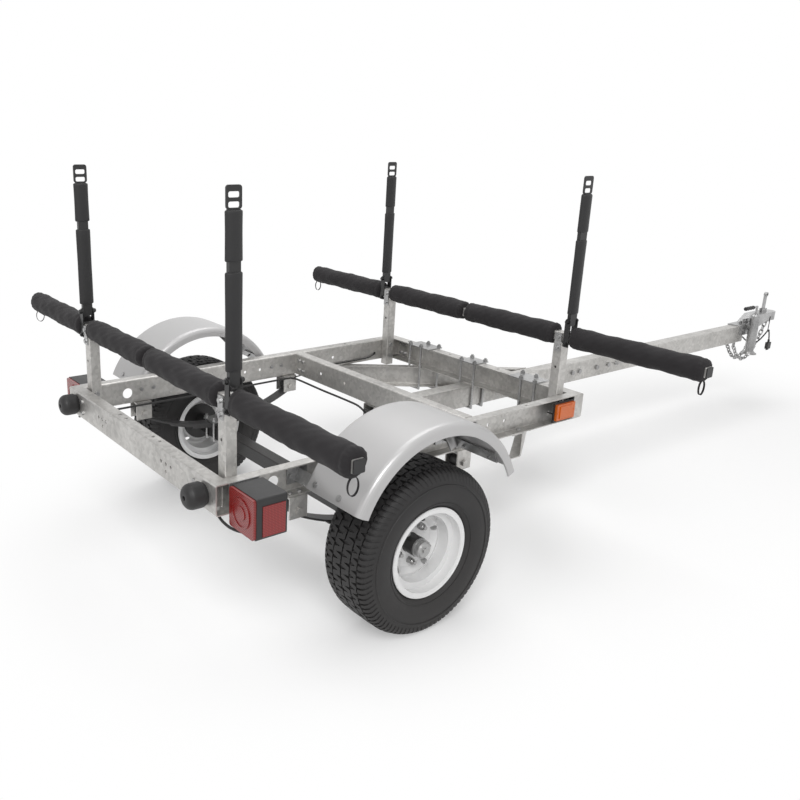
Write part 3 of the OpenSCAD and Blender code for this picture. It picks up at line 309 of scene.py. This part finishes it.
def mix(tree, factor, a, b):
    """Mixes two colours, each a socket or an RGB, by a socket or number."""
    node = tree.nodes.new("ShaderNodeMix")
    node.data_type = "RGBA"
    for socket, value in ((node.inputs[0], factor), (node.inputs[6], a), (node.inputs[7], b)):
        if isinstance(value, (int, float)):
            socket.default_value = value
        elif isinstance(value, tuple):
            socket.default_value = (*value, 1)
        else:
            tree.links.new(value, socket)
    return node.outputs[2]


def spread(tree, source, low, high):
    """Maps 0 to 1 on low to high."""
    node = add(tree, "ShaderNodeMapRange", values={"To Min": low, "To Max": high}, links={"Value": source})
    return node.outputs[0]


def bump(tree, shader, height, strength, distance):
    node = add(tree, "ShaderNodeBump", values={"Strength": strength, "Distance": distance},
               links={"Height": height})
    tree.links.new(node.outputs[0], shader.inputs["Normal"])


DUST_COLOUR = (0.30, 0.27, 0.23)
LENS_RIBS = 700


def dusty_colour(tree, shader, coords, base, height, amount):
    """Sets the base colour under a thin coat of road dust."""
    dust = use_group(tree, DUST, coords, Height=height, Amount=amount)
    tree.links.new(mix(tree, dust.outputs["Mask"], base, DUST_COLOUR), shader.inputs["Base Color"])


def grain_bump(tree, shader, coords, size, strength, distance):
    grain = use_group(tree, GRAIN, coords, Grain=size)
    bump(tree, shader, grain.outputs["Height"], strength, distance)


def roughness(tree, shader, source, low, high):
    tree.links.new(spread(tree, source, low, high), shader.inputs["Roughness"])


def zinc_material(name, dark, light, rough, cells=90.0, stain=0.5):
    mat, tree, shader, coords = start_material(name, metallic=0.75)
    crystals = use_group(tree, SPANGLE, coords, Cells=cells)
    tone = ramp(tree, crystals.outputs["Tone"], [(0.0, dark), (1.0, light)])
    stained = ramp(tree, crystals.outputs["Stain"], [(0.34, dark), (0.66, light)])
    base = mix(tree, stain, tone, stained)
    dusty_colour(tree, shader, coords, base, 0.5, 0.25)
    roughness(tree, shader, crystals.outputs["Stain"], rough + 0.12, rough - 0.08)
    grain_bump(tree, shader, coords, 300.0, 0.12, 0.001)
    return mat


def paint_material(name, colour, rough, coat, metallic=0.0, grain_size=500.0, grain_depth=0.1,
                   dust_amount=0.15):
    mat, tree, shader, coords = start_material(name, metallic=metallic, coat=coat)
    shader.inputs["Coat Roughness"].default_value = 0.15
    cloud = noise(tree, coords, 5, 6, 0.6)
    darker = tuple(c * 0.9 for c in colour)
    base = mix(tree, spread(tree, cloud, 0.0, 1.0), darker, colour)
    dusty_colour(tree, shader, coords, base, 0.7, dust_amount)
    roughness(tree, shader, cloud, rough - 0.05, rough + 0.07)
    grain_bump(tree, shader, coords, grain_size, grain_depth, 0.001)
    return mat


def cloth_material():
    mat, tree, shader, coords = start_material("pad_cover_cloth", sheen=0.04)
    shader.inputs["Sheen Roughness"].default_value = 0.5
    weave = use_group(tree, WEAVE, coords, Threads=420.0)
    wear = noise(tree, coords, 11, 7, 0.65)
    dark = mix(tree, weave.outputs["Thread"], (0.0040, 0.0034, 0.0040), (0.0100, 0.0084, 0.0096))
    faded = mix(tree, spread(tree, wear, 0.0, 0.6), dark, (0.0150, 0.0122, 0.0143))
    tree.links.new(faded, shader.inputs["Base Color"])
    roughness(tree, shader, weave.outputs["Thread"], 0.78, 0.95)
    bump(tree, shader, weave.outputs["Height"], 0.35, 0.0006)
    return mat


def foam_material():
    mat, tree, shader, coords = start_material("foam_sleeve_skin", sheen=0.1)
    cells = add(tree, "ShaderNodeTexVoronoi", values={"Scale": 700}, links={"Vector": coords})
    marks = noise(tree, coords, 24, 5, 0.6)
    base = mix(tree, marks, (0.007, 0.0068, 0.0073), (0.017, 0.0165, 0.0175))
    tree.links.new(base, shader.inputs["Base Color"])
    roughness(tree, shader, marks, 0.55, 0.72)
    bump(tree, shader, cells.outputs["Distance"], 0.18, 0.0008)
    return mat


def rubber_material(name, colour, rough, dust_amount):
    mat, tree, shader, coords = start_material(name)
    marks = noise(tree, coords, 40, 6, 0.6)
    lighter = tuple(min(1.0, c * 1.9 + 0.004) for c in colour)
    base = mix(tree, marks, colour, lighter)
    dusty_colour(tree, shader, coords, base, 0.6, dust_amount)
    roughness(tree, shader, marks, rough - 0.08, rough + 0.1)
    grain_bump(tree, shader, coords, 600.0, 0.15, 0.0008)
    return mat


def ribs(tree, place):
    """Rounded ribs, as a height, across a place in metres."""
    return math_node(tree, "ABSOLUTE", math_node(tree, "SINE", math_node(tree, "MULTIPLY", place, LENS_RIBS)))


def lens_material(name, deep, clear):
    """Moulded lens: a rough prismatic grid seen through a glossy face."""
    mat, tree, shader, coords = start_material(name, coat=0.3)
    shader.inputs["Coat Roughness"].default_value = 0.04
    split = add(tree, "ShaderNodeSeparateXYZ", links={"Vector": coords})
    across = math_node(tree, "ADD", split.outputs["X"], split.outputs["Y"])
    ribs_x = ribs(tree, across)
    ribs_z = ribs(tree, split.outputs["Z"])
    prism = math_node(tree, "MULTIPLY", ribs_x, ribs_z)
    tree.links.new(mix(tree, prism, deep, clear), shader.inputs["Base Color"])
    roughness(tree, shader, prism, 0.18, 0.32)
    bump(tree, shader, prism, 0.25, 0.0015)
    return mat


def tyre_material():
    mat, tree, shader, coords = start_material("tyre_rubber")
    marks = noise(tree, coords, 30, 8, 0.65)
    base = mix(tree, marks, (0.0065, 0.0060, 0.0066), (0.0170, 0.0160, 0.0168))
    dusty_colour(tree, shader, coords, base, 0.6, 0.06)
    roughness(tree, shader, marks, 0.5, 0.72)
    grain_bump(tree, shader, coords, 500.0, 0.2, 0.001)
    return mat


MATERIALS = {
    "galvanised": zinc_material("hot_dip_zinc", (0.37, 0.362, 0.348), (0.62, 0.607, 0.585), 0.40,
                                stain=0.55),
    "zinc_plate": zinc_material("bright_zinc_plate", (0.25, 0.25, 0.25), (0.50, 0.50, 0.50), 0.27,
                                cells=160.0, stain=0.7),
    "silver_paint": paint_material("silver_powder_coat", (0.50, 0.495, 0.495), 0.38, 0.12, metallic=0.4,
                                   grain_size=1400.0, grain_depth=0.06, dust_amount=0.1),
    "black_paint": paint_material("black_powder_coat", (0.009, 0.0088, 0.0092), 0.42, 0.2,
                                  grain_size=900.0, grain_depth=0.2, dust_amount=0.05),
    "pad_fabric": cloth_material(),
    "foam_sleeve": foam_material(),
    "black_rubber": rubber_material("black_rubber", (0.007, 0.0066, 0.007), 0.5, 0.04),
    "black_plastic": rubber_material("moulded_black_plastic", (0.009, 0.009, 0.0095), 0.45, 0.04),
    "red_lens": lens_material("red_moulded_lens", (0.13, 0.003, 0.0025), (0.32, 0.010, 0.008)),
    "amber_lens": lens_material("amber_moulded_lens", (0.48, 0.075, 0.001), (0.74, 0.165, 0.003)),
    "tyre": tyre_material(),
    "rim_white": paint_material("white_rim_paint", (0.80, 0.80, 0.80), 0.3, 0.4,
                                grain_size=1200.0, grain_depth=0.04, dust_amount=0.12),
    "spring_steel": paint_material("dark_spring_steel", (0.07, 0.07, 0.072), 0.5, 0.0, metallic=0.5,
                                   grain_depth=0.25),
}


def paint_nodes():
    """Gives each CAD node the material of its slot."""
    for part in frame["record"]["subparts"]:
        mesh = frame["nodes"][part["node"]].data
        mesh.materials.clear()
        mesh.materials.append(MATERIALS[part["material_slot"]])


def sharpen(obj):
    """Keeps flat faces flat and round ones round."""
    obj.data.set_sharp_from_angle(angle=math.radians(38))


def finish_piece(obj, slot):
    """Gives a piece its slot's material."""
    obj.data.materials.clear()
    obj.data.materials.append(MATERIALS[slot])
    return obj


paint_nodes()
finish_piece(tow_lead, "black_rubber")

# Load bar pads

PAD_VOXEL = 0.006
PAD_SWELL_LIMIT = 0.004
PAD_INSET = 0.003
PAD_END_ROUND = 0.014
CLOTH_FRAMES = 20
CLOTH_PRESSURE = 4


def bodies_in_node(node, axis=0):
    """The separate solids of a CAD node, each as (lowest corner, highest corner), in order along an axis."""
    bm = node_copy(node)
    boxes = []
    left = set(bm.verts)
    while left:
        group = {left.pop()}
        queue = list(group)
        while queue:
            vert = queue.pop()
            for edge in vert.link_edges:
                other = edge.other_vert(vert)
                if other in left:
                    left.discard(other)
                    group.add(other)
                    queue.append(other)
        low = Vector([min(v.co[i] for v in group) for i in range(3)])
        high = Vector([max(v.co[i] for v in group) for i in range(3)])
        boxes.append((low, high))
    bm.free()
    return sorted(boxes, key=lambda b: b[0][axis])


def pad_blank(low, high):
    """A closed sleeve of foam round the bar's axis, a little smaller than the finished pad."""
    middle = (low + high) / 2
    radius = (high.z - low.z) / 2 - PAD_INSET
    length = high.x - low.x - 0.004
    bm = bmesh.new()
    bmesh.ops.create_cone(bm, cap_ends=True, segments=40, radius1=radius, radius2=radius, depth=length)
    bmesh.ops.bevel(bm, geom=[e for e in bm.edges if len(e.link_faces) == 2
                              and any(len(f.verts) > 4 for f in e.link_faces)],
                    offset=PAD_END_ROUND, segments=4, profile=0.5, affect="EDGES", material=-1)
    bmesh.ops.rotate(bm, verts=bm.verts, cent=(0, 0, 0), matrix=Matrix.Rotation(math.pi / 2, 3, "Y"))
    bmesh.ops.translate(bm, verts=bm.verts, vec=middle)
    return bm


def swell(obj):
    """Fills a pad with cloth pressure for a few frames and keeps the shape."""
    remesh = obj.modifiers.new("remesh", "REMESH")
    remesh.mode = "VOXEL"
    remesh.voxel_size = PAD_VOXEL
    apply_modifiers(obj)
    before = [v.co.copy() for v in obj.data.vertices]
    scene = bpy.context.scene
    cloth = obj.modifiers.new("cloth", "CLOTH")
    cloth.settings.use_pressure = True
    cloth.settings.uniform_pressure_force = CLOTH_PRESSURE
    cloth.settings.effector_weights.gravity = 0
    for number in range(1, CLOTH_FRAMES + 1):
        scene.frame_set(number)
    apply_modifiers(obj)
    for vert, start in zip(obj.data.vertices, before):
        move = vert.co - start
        if move.length > PAD_SWELL_LIMIT:
            vert.co = start + move.normalized() * PAD_SWELL_LIMIT
    scene.frame_set(1)


def apply_modifiers(obj):
    graph = bpy.context.evaluated_depsgraph_get()
    mesh = bpy.data.meshes.new_from_object(obj.evaluated_get(graph))
    obj.modifiers.clear()
    obj.data = mesh


def shape_pad(obj, low, high):
    """Presses in the wrapped cover: slack folds, a lengthwise lap and the ends drawn over the foam."""
    middle = (low + high) / 2
    full = (high.z - low.z) / 2
    for vert in obj.data.vertices:
        x = vert.co.x - low.x
        y = vert.co.y - middle.y
        z = vert.co.z - middle.z
        radius = math.hypot(y, z)
        if radius < 1e-5:
            continue
        angle = math.atan2(z, y)
        waves = 0.0012 * math.sin(29 * x + 2 * angle + 9 * low.x) + 0.0009 * math.sin(71 * x - 3 * angle)
        waves += 0.0006 * math.sin(143 * x + 5 * angle + 4 * low.x) * math.sin(3 * angle + 17 * x)
        lap = -0.0022 * math.exp(-((angle + 0.9) / 0.06) ** 2)
        end = min(x, high.x - vert.co.x)
        gather = -0.0022 * math.exp(-((end - 0.024) / 0.004) ** 2)
        pucker = 0.0014 * math.sin(16 * angle) * math.exp(-(end / 0.022) ** 2)
        new = min(radius + waves + lap + gather + pucker, full + 0.002)
        vert.co.y = middle.y + y * new / radius
        vert.co.z = middle.z + z * new / radius


def make_pads():
    """Each pad as a foam core in a cloth cover."""
    for node in ("pads_rear", "pads_front"):
        for number, (low, high) in enumerate(bodies_in_node(node), 1):
            obj = piece(f"{node}_cover_{number}", pad_blank(low, high), "frame")
            swell(obj)
            shape_pad(obj, low, high)
            for poly in obj.data.polygons:
                poly.use_smooth = True
            soft = obj.modifiers.new("soft", "SUBSURF")
            soft.levels = 1
            soft.render_levels = 1
            finish_piece(obj, "pad_fabric")
            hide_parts(node)


make_pads()

LOOP_HALF_WIDTH = 0.003
LOOP_RADIUS = 0.021
LOOP_THICKNESS = 0.0014
LOOP_FROM_END = 0.012


def pull_loop(side, low, high):
    """Tape loop sewn into the underside of a pad's outer end."""
    x = high.x - LOOP_FROM_END if side > 0 else low.x + LOOP_FROM_END
    outer = LOOP_RADIUS + LOOP_THICKNESS
    section = ((-LOOP_HALF_WIDTH, LOOP_RADIUS), (LOOP_HALF_WIDTH, LOOP_RADIUS),
               (LOOP_HALF_WIDTH, outer), (-LOOP_HALF_WIDTH, outer))
    bm = bmesh.new()
    corners = [bm.verts.new((dx, 0, dz)) for dx, dz in section]
    edges = [bm.edges.new((corners[i], corners[(i + 1) % 4])) for i in range(4)]
    bmesh.ops.spin(bm, geom=corners + edges, cent=(0, 0, 0), axis=(1, 0, 0), angle=math.tau,
                   steps=48, use_merge=True)
    bmesh.ops.remove_doubles(bm, verts=bm.verts, dist=1e-6)
    bmesh.ops.scale(bm, verts=bm.verts, vec=(1, 0.7, 1.05))
    bmesh.ops.translate(bm, verts=bm.verts, vec=(x, (low.y + high.y) / 2, low.z - 0.015))
    return bm


def make_loops():
    """A pull loop at each outer end of the pads."""
    for node in ("pads_rear", "pads_front"):
        pads = bodies_in_node(node)
        for side, (low, high) in ((-1, pads[0]), (1, pads[-1])):
            name = f"{node}_loop_{'right' if side > 0 else 'left'}"
            obj = piece(name, pull_loop(side, low, high), "frame")
            sharpen(obj)
            finish_piece(obj, "pad_fabric")


# Foam sleeves on the posts


def foam_sleeve(low, high):
    """An oval sleeve with rolled ends and a faint waist."""
    width = high.x - low.x
    depth = high.y - low.y
    height = high.z - low.z
    middle = (low + high) / 2
    bm = bmesh.new()
    bmesh.ops.create_cone(bm, cap_ends=True, segments=32, radius1=0.5, radius2=0.5, depth=height)
    sides = [e for e in bm.edges if abs(e.verts[0].co.z - e.verts[1].co.z) > height / 2]
    bmesh.ops.subdivide_edges(bm, edges=sides, cuts=14, use_grid_fill=False)
    rims = [e for e in bm.edges if len(e.link_faces) == 2 and any(len(f.verts) > 6 for f in e.link_faces)]
    bmesh.ops.scale(bm, verts=bm.verts, vec=(width, depth, 1))
    bmesh.ops.bevel(bm, geom=rims, offset=0.004, segments=3, profile=0.5, affect="EDGES", material=-1)
    for vert in bm.verts:
        place = vert.co.z / height
        slack = 1 - 0.02 * (1 - (2 * place) ** 2) - 0.006 * (1 + math.sin(46 * vert.co.z + 3 * middle.y))
        vert.co.x *= slack
        vert.co.y *= slack
    bmesh.ops.translate(bm, verts=bm.verts, vec=middle)
    return bm


def make_sleeves():
    for end in ("rear", "front"):
        for side in ("left", "right"):
            node = f"sleeves_{end}_{side}"
            for number, (low, high) in enumerate(bodies_in_node(node, axis=2), 1):
                obj = piece(f"{node}_foam_{number}", foam_sleeve(low, high),
                            f"post_{end}_{side}_body")
                finish_piece(obj, "foam_sleeve")
                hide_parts(node)


make_sleeves()

# Tyres with their tread

TREAD_PITCHES = 44
TREAD_BOTTOM = 0.2515
SIDE_RINGS = ((0.158, 0.0925), (0.214, 0.0990))
SIDE_RING_R = 0.0024
TYRE_PROFILE = [(-0.0660, 0.1290), (-0.0760, 0.1300), (-0.0795, 0.1360), (-0.0790, 0.1425), (-0.0880, 0.1500),
                (-0.0970, 0.1650), (-0.1010, 0.1880), (-0.1005, 0.2050), (-0.0975, 0.2200), (-0.0930, 0.2330),
                (-0.0880, 0.2440), (-0.0780, 0.2505), (-0.0500, 0.2540), (0.0, 0.2550)]


def tyre_carcass():
    """The body of the tyre, spun round the axle from its half section mirrored about the middle."""
    bm = bmesh.new()
    half = [bm.verts.new((x, 0, z)) for x, z in TYRE_PROFILE]
    for a, b in zip(half, half[1:]):
        bm.edges.new((a, b))
    bmesh.ops.mirror(bm, geom=bm.verts[:] + bm.edges[:], matrix=Matrix.Identity(4), merge_dist=1e-6, axis="X")
    bmesh.ops.spin(bm, geom=bm.verts[:] + bm.edges[:], cent=(0, 0, 0), axis=(1, 0, 0), angle=math.tau,
                   steps=176, use_merge=True)
    bmesh.ops.remove_doubles(bm, verts=bm.verts, dist=1e-6)
    open_rings = [e for e in bm.edges if len(e.link_faces) == 1]
    bmesh.ops.bridge_loops(bm, edges=open_rings)
    return bm


def tread_block(bm, x0, x1, start, sweep, skew, low, high):
    """One block of tread: a bevelled slab bent to the tyre's curve."""
    for vert in bmesh.ops.create_cube(bm, size=1)["verts"]:
        u = vert.co.x + 0.5
        v = vert.co.y + 0.5
        x = x0 + (x1 - x0) * u
        fall = 0.35 * max(0.0, abs(x) - 0.062)
        radius = (high if vert.co.z > 0 else low) - fall
        shrink = 0.93 if vert.co.z > 0 else 1.0
        angle = start + sweep * (0.5 + (v - 0.5) * shrink) + skew * (u - 0.5)
        vert.co = Vector((x, radius * math.sin(angle), radius * math.cos(angle)))


SHOULDER = [(0.067, 0.2530), (0.078, 0.2505), (0.086, 0.2455), (0.0915, 0.2370), (0.0955, 0.2260)]


def shoulder_rib(bm, half, start, sweep):
    """One curved rib from the tread's edge down over the shoulder."""
    before = len(bm.verts)
    made = bmesh.ops.create_cube(bm, size=1)
    long_edges = [e for e in {e for v in made["verts"] for e in v.link_edges}
                  if abs(e.verts[0].co.x - e.verts[1].co.x) > 0.5]
    bmesh.ops.subdivide_edges(bm, edges=long_edges, cuts=len(SHOULDER) - 2, use_grid_fill=True)
    bm.verts.ensure_lookup_table()
    verts = bm.verts[before:]
    for vert in verts:
        step = (vert.co.x + 0.5) * (len(SHOULDER) - 1)
        x, radius = SHOULDER[round(step)]
        thick = 0.0045 * (1 - 0.16 * step) if vert.co.z > 0 else -0.003
        narrow = 0.92 if vert.co.z > 0 else 1.0
        angle = start + sweep * (0.5 + vert.co.y * narrow) + 0.012 * step * step / 4
        radius += thick
        out = half * (x + max(0.0, thick) * 0.12 * step)
        vert.co = Vector((out, radius * math.sin(angle), radius * math.cos(angle)))


def make_tread():
    """Two rows of blocks on each half of the tread, and ribs over its shoulders."""
    bm = bmesh.new()
    pitch = math.tau / TREAD_PITCHES
    low = TREAD_BOTTOM
    high = TYRE_R
    for k in range(TREAD_PITCHES):
        a = k * pitch
        for half in (-1, 1):
            for n in (0, 1):
                shift = n * pitch / 2
                skew = half * (0.10 if n else -0.10) * pitch * 2
                x = half * 0.0190
                tread_block(bm, x - 0.0165, x + 0.0165, a + shift, pitch * 0.44, skew, low, high)
                x = half * 0.0520
                tread_block(bm, x - 0.0125, x + 0.0125, a + shift + 0.25 * pitch, pitch * 0.42, -skew,
                            low, high - 0.0005)
            for n in (0, 1):
                shoulder_rib(bm, half, a + n * pitch / 2, pitch * 0.34)
    return bm


def make_tyre(side, name):
    """Carcass, tread and the raised rings of the side walls as one piece."""
    bm = tyre_carcass()
    tread = bpy.data.meshes.new("tread")
    blocks = make_tread()
    bmesh.ops.recalc_face_normals(blocks, faces=blocks.faces)
    blocks.to_mesh(tread)
    blocks.free()
    bm.from_mesh(tread)
    bpy.data.meshes.remove(tread)
    for ring, width in SIDE_RINGS:
        for s in (-1, 1):
            loop = bmesh.ops.create_circle(bm, cap_ends=False, segments=5, radius=SIDE_RING_R)["verts"]
            for vert in loop:
                vert.co = Vector((s * width + vert.co.x, 0, ring + vert.co.y))
            edges = list({e for v in loop for e in v.link_edges})
            bmesh.ops.spin(bm, geom=loop + edges, cent=(0, 0, 0), axis=(1, 0, 0), angle=math.tau,
                           steps=120, use_merge=True)
    bmesh.ops.translate(bm, verts=bm.verts, vec=(side * WHEEL_X, AXLE[1], AXLE[2]))
    obj = piece(f"tyre_{name}_treaded", bm, f"wheel_{name}")
    sharpen(obj)
    finish_piece(obj, "tyre")
    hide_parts(f"tyre_{name}")


for wheel_side, wheel_name in ((-1, "left"), (1, "right")):
    make_tyre(wheel_side, wheel_name)

# Leaf springs, each cut in two halves at the axle

LEAF_MIDDLE = 0.004


def make_springs():
    """Each spring in two halves, each running from its eye to the spring's middle at the axle."""
    middle_y = Y_SHIFT + LEAF_MIDDLE
    for side, side_name in ((-1, "left"), (1, "right")):
        for end, end_name in ((-1, "rear"), (1, "front")):
            bm = node_copy("leaf_springs")
            drop = [v for v in bm.verts if v.co.x * side < 0]
            bmesh.ops.delete(bm, geom=drop, context="VERTS")
            bmesh.ops.bisect_plane(bm, geom=bm.verts[:] + bm.edges[:] + bm.faces[:],
                                   plane_co=(0, middle_y, 0), plane_no=(0, -end, 0), clear_outer=True)
            cuts = [e for e in bm.edges if abs(e.verts[0].co.y - e.verts[1].co.y) > 0.03]
            bmesh.ops.subdivide_edges(bm, edges=cuts, cuts=2)
            rim = [e for e in bm.edges if len(e.link_faces) == 1]
            bmesh.ops.holes_fill(bm, edges=rim)
            obj = piece(f"leaf_spring_{side_name}_{end_name}", bm, None, smooth=False)
            finish_piece(obj, "spring_steel")
            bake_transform(obj)
            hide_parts("leaf_springs")


make_springs()

# Small fittings


def lathe(profile, axis_turn, place, steps=32):
    """Spins a profile of (radius, height) about its height, then turns and places it."""
    bm = bmesh.new()
    verts = [bm.verts.new((r, 0, h)) for r, h in profile]
    for a, b in zip(verts, verts[1:]):
        bm.edges.new((a, b))
    bmesh.ops.spin(bm, geom=bm.verts[:] + bm.edges[:], cent=(0, 0, 0), axis=(0, 0, 1), angle=math.tau,
                   steps=steps, use_merge=True)
    bmesh.ops.remove_doubles(bm, verts=bm.verts, dist=1e-6)
    bmesh.ops.transform(bm, verts=bm.verts, matrix=Matrix.Translation(place) @ axis_turn)
    return bm


VALVE_TILT = math.radians(62)


def make_valves():
    """Rubber valve stems in the rims."""
    profile = [(0, 0), (0.0055, 0), (0.0055, 0.006), (0.0042, 0.010), (0.0040, 0.026), (0.0046, 0.027),
               (0.0046, 0.035), (0.0034, 0.037), (0, 0.037)]
    for side, name in ((-1, "left"), (1, "right")):
        turn = Matrix.Rotation(side * VALVE_TILT, 4, "Y")
        spot = Vector((side * (WHEEL_X + 0.048), AXLE[1] - 0.030, AXLE[2] + 0.098))
        obj = piece(f"valve_stem_{name}", lathe(profile, turn, spot), f"wheel_{name}")
        finish_piece(obj, "black_rubber")


make_valves()
make_loops()

# Floor, light and backdrop


def seen_directly(tree):
    """1 for camera, glossy and transmission rays."""
    rays = tree.nodes.new("ShaderNodeLightPath")
    through = math_node(tree, "MAXIMUM", rays.outputs["Is Glossy Ray"], rays.outputs["Is Transmission Ray"])
    return math_node(tree, "MAXIMUM", rays.outputs["Is Camera Ray"], through)


def stage_material():
    """Pale floor that keeps the shadow near the trailer and runs out into white."""
    mat = bpy.data.materials.new("pale_stage")
    mat.use_nodes = True
    tree = mat.node_tree
    shader = tree.nodes["Principled BSDF"]
    shader.inputs["Base Color"].default_value = (0.95, 0.95, 0.95, 1)
    shader.inputs["Roughness"].default_value = 0.95
    shader.inputs["Specular IOR Level"].default_value = 0.0
    coords = tree.nodes.new("ShaderNodeTexCoord").outputs["Object"]
    squeeze = add(tree, "ShaderNodeVectorMath", {"operation": "MULTIPLY"}, {1: (1.0, 0.55, 0.0)}, {0: coords})
    distance = add(tree, "ShaderNodeVectorMath", {"operation": "LENGTH"}, links={0: squeeze.outputs[0]})
    away = add(tree, "ShaderNodeMapRange", {"interpolation_type": "SMOOTHSTEP"},
               {"From Min": 0.7, "From Max": 1.5}, {"Value": distance.outputs["Value"]})
    factor = math_node(tree, "MULTIPLY", away.outputs[0], seen_directly(tree))
    white = add(tree, "ShaderNodeEmission")
    mixed = add(tree, "ShaderNodeMixShader", links={0: factor, 1: shader.outputs[0], 2: white.outputs[0]})
    tree.links.new(mixed.outputs[0], tree.nodes["Material Output"].inputs["Surface"])
    return mat


def make_stage():
    bm = bmesh.new()
    bmesh.ops.create_grid(bm, x_segments=1, y_segments=1, size=60)
    mesh = bpy.data.meshes.new("floor")
    bm.to_mesh(mesh)
    bm.free()
    floor = link(bpy.data.objects.new("floor", mesh))
    floor.location.z = -0.0005
    mesh.materials.append(stage_material())


def area_light(name, place, aim, size, power):
    data = bpy.data.lights.new(name, "AREA")
    data.shape = "DISK"
    data.size = size
    data.energy = power
    light = link(bpy.data.objects.new(name, data))
    light.location = place
    light.rotation_euler = (Vector(aim) - Vector(place)).to_track_quat("-Z", "Y").to_euler()


def light_scene():
    """A dim world that looks white where it is seen or mirrored, and two soft lamps."""
    scene = bpy.context.scene
    scene.view_settings.view_transform = "Standard"
    world = bpy.data.worlds.new("studio")
    scene.world = world
    world.use_nodes = True
    tree = world.node_tree
    base = tree.nodes["Background"]
    bright = tree.nodes.new("ShaderNodeBackground")
    for node, strength in ((base, 0.5), (bright, 1.0)):
        node.inputs["Color"].default_value = (1, 1, 1, 1)
        node.inputs["Strength"].default_value = strength
    blend = tree.nodes.new("ShaderNodeMixShader")
    tree.links.new(seen_directly(tree), blend.inputs[0])
    tree.links.new(base.outputs[0], blend.inputs[1])
    tree.links.new(bright.outputs[0], blend.inputs[2])
    tree.links.new(blend.outputs[0], tree.nodes["World Output"].inputs["Surface"])
    area_light("key", (4.5, -5.0, 5.5), (0, -0.8, 0.5), 4.0, 285)
    area_light("top", (-1.0, 0.5, 6.0), (0, 0, 0.5), 5.0, 140)


make_stage()
light_scene()
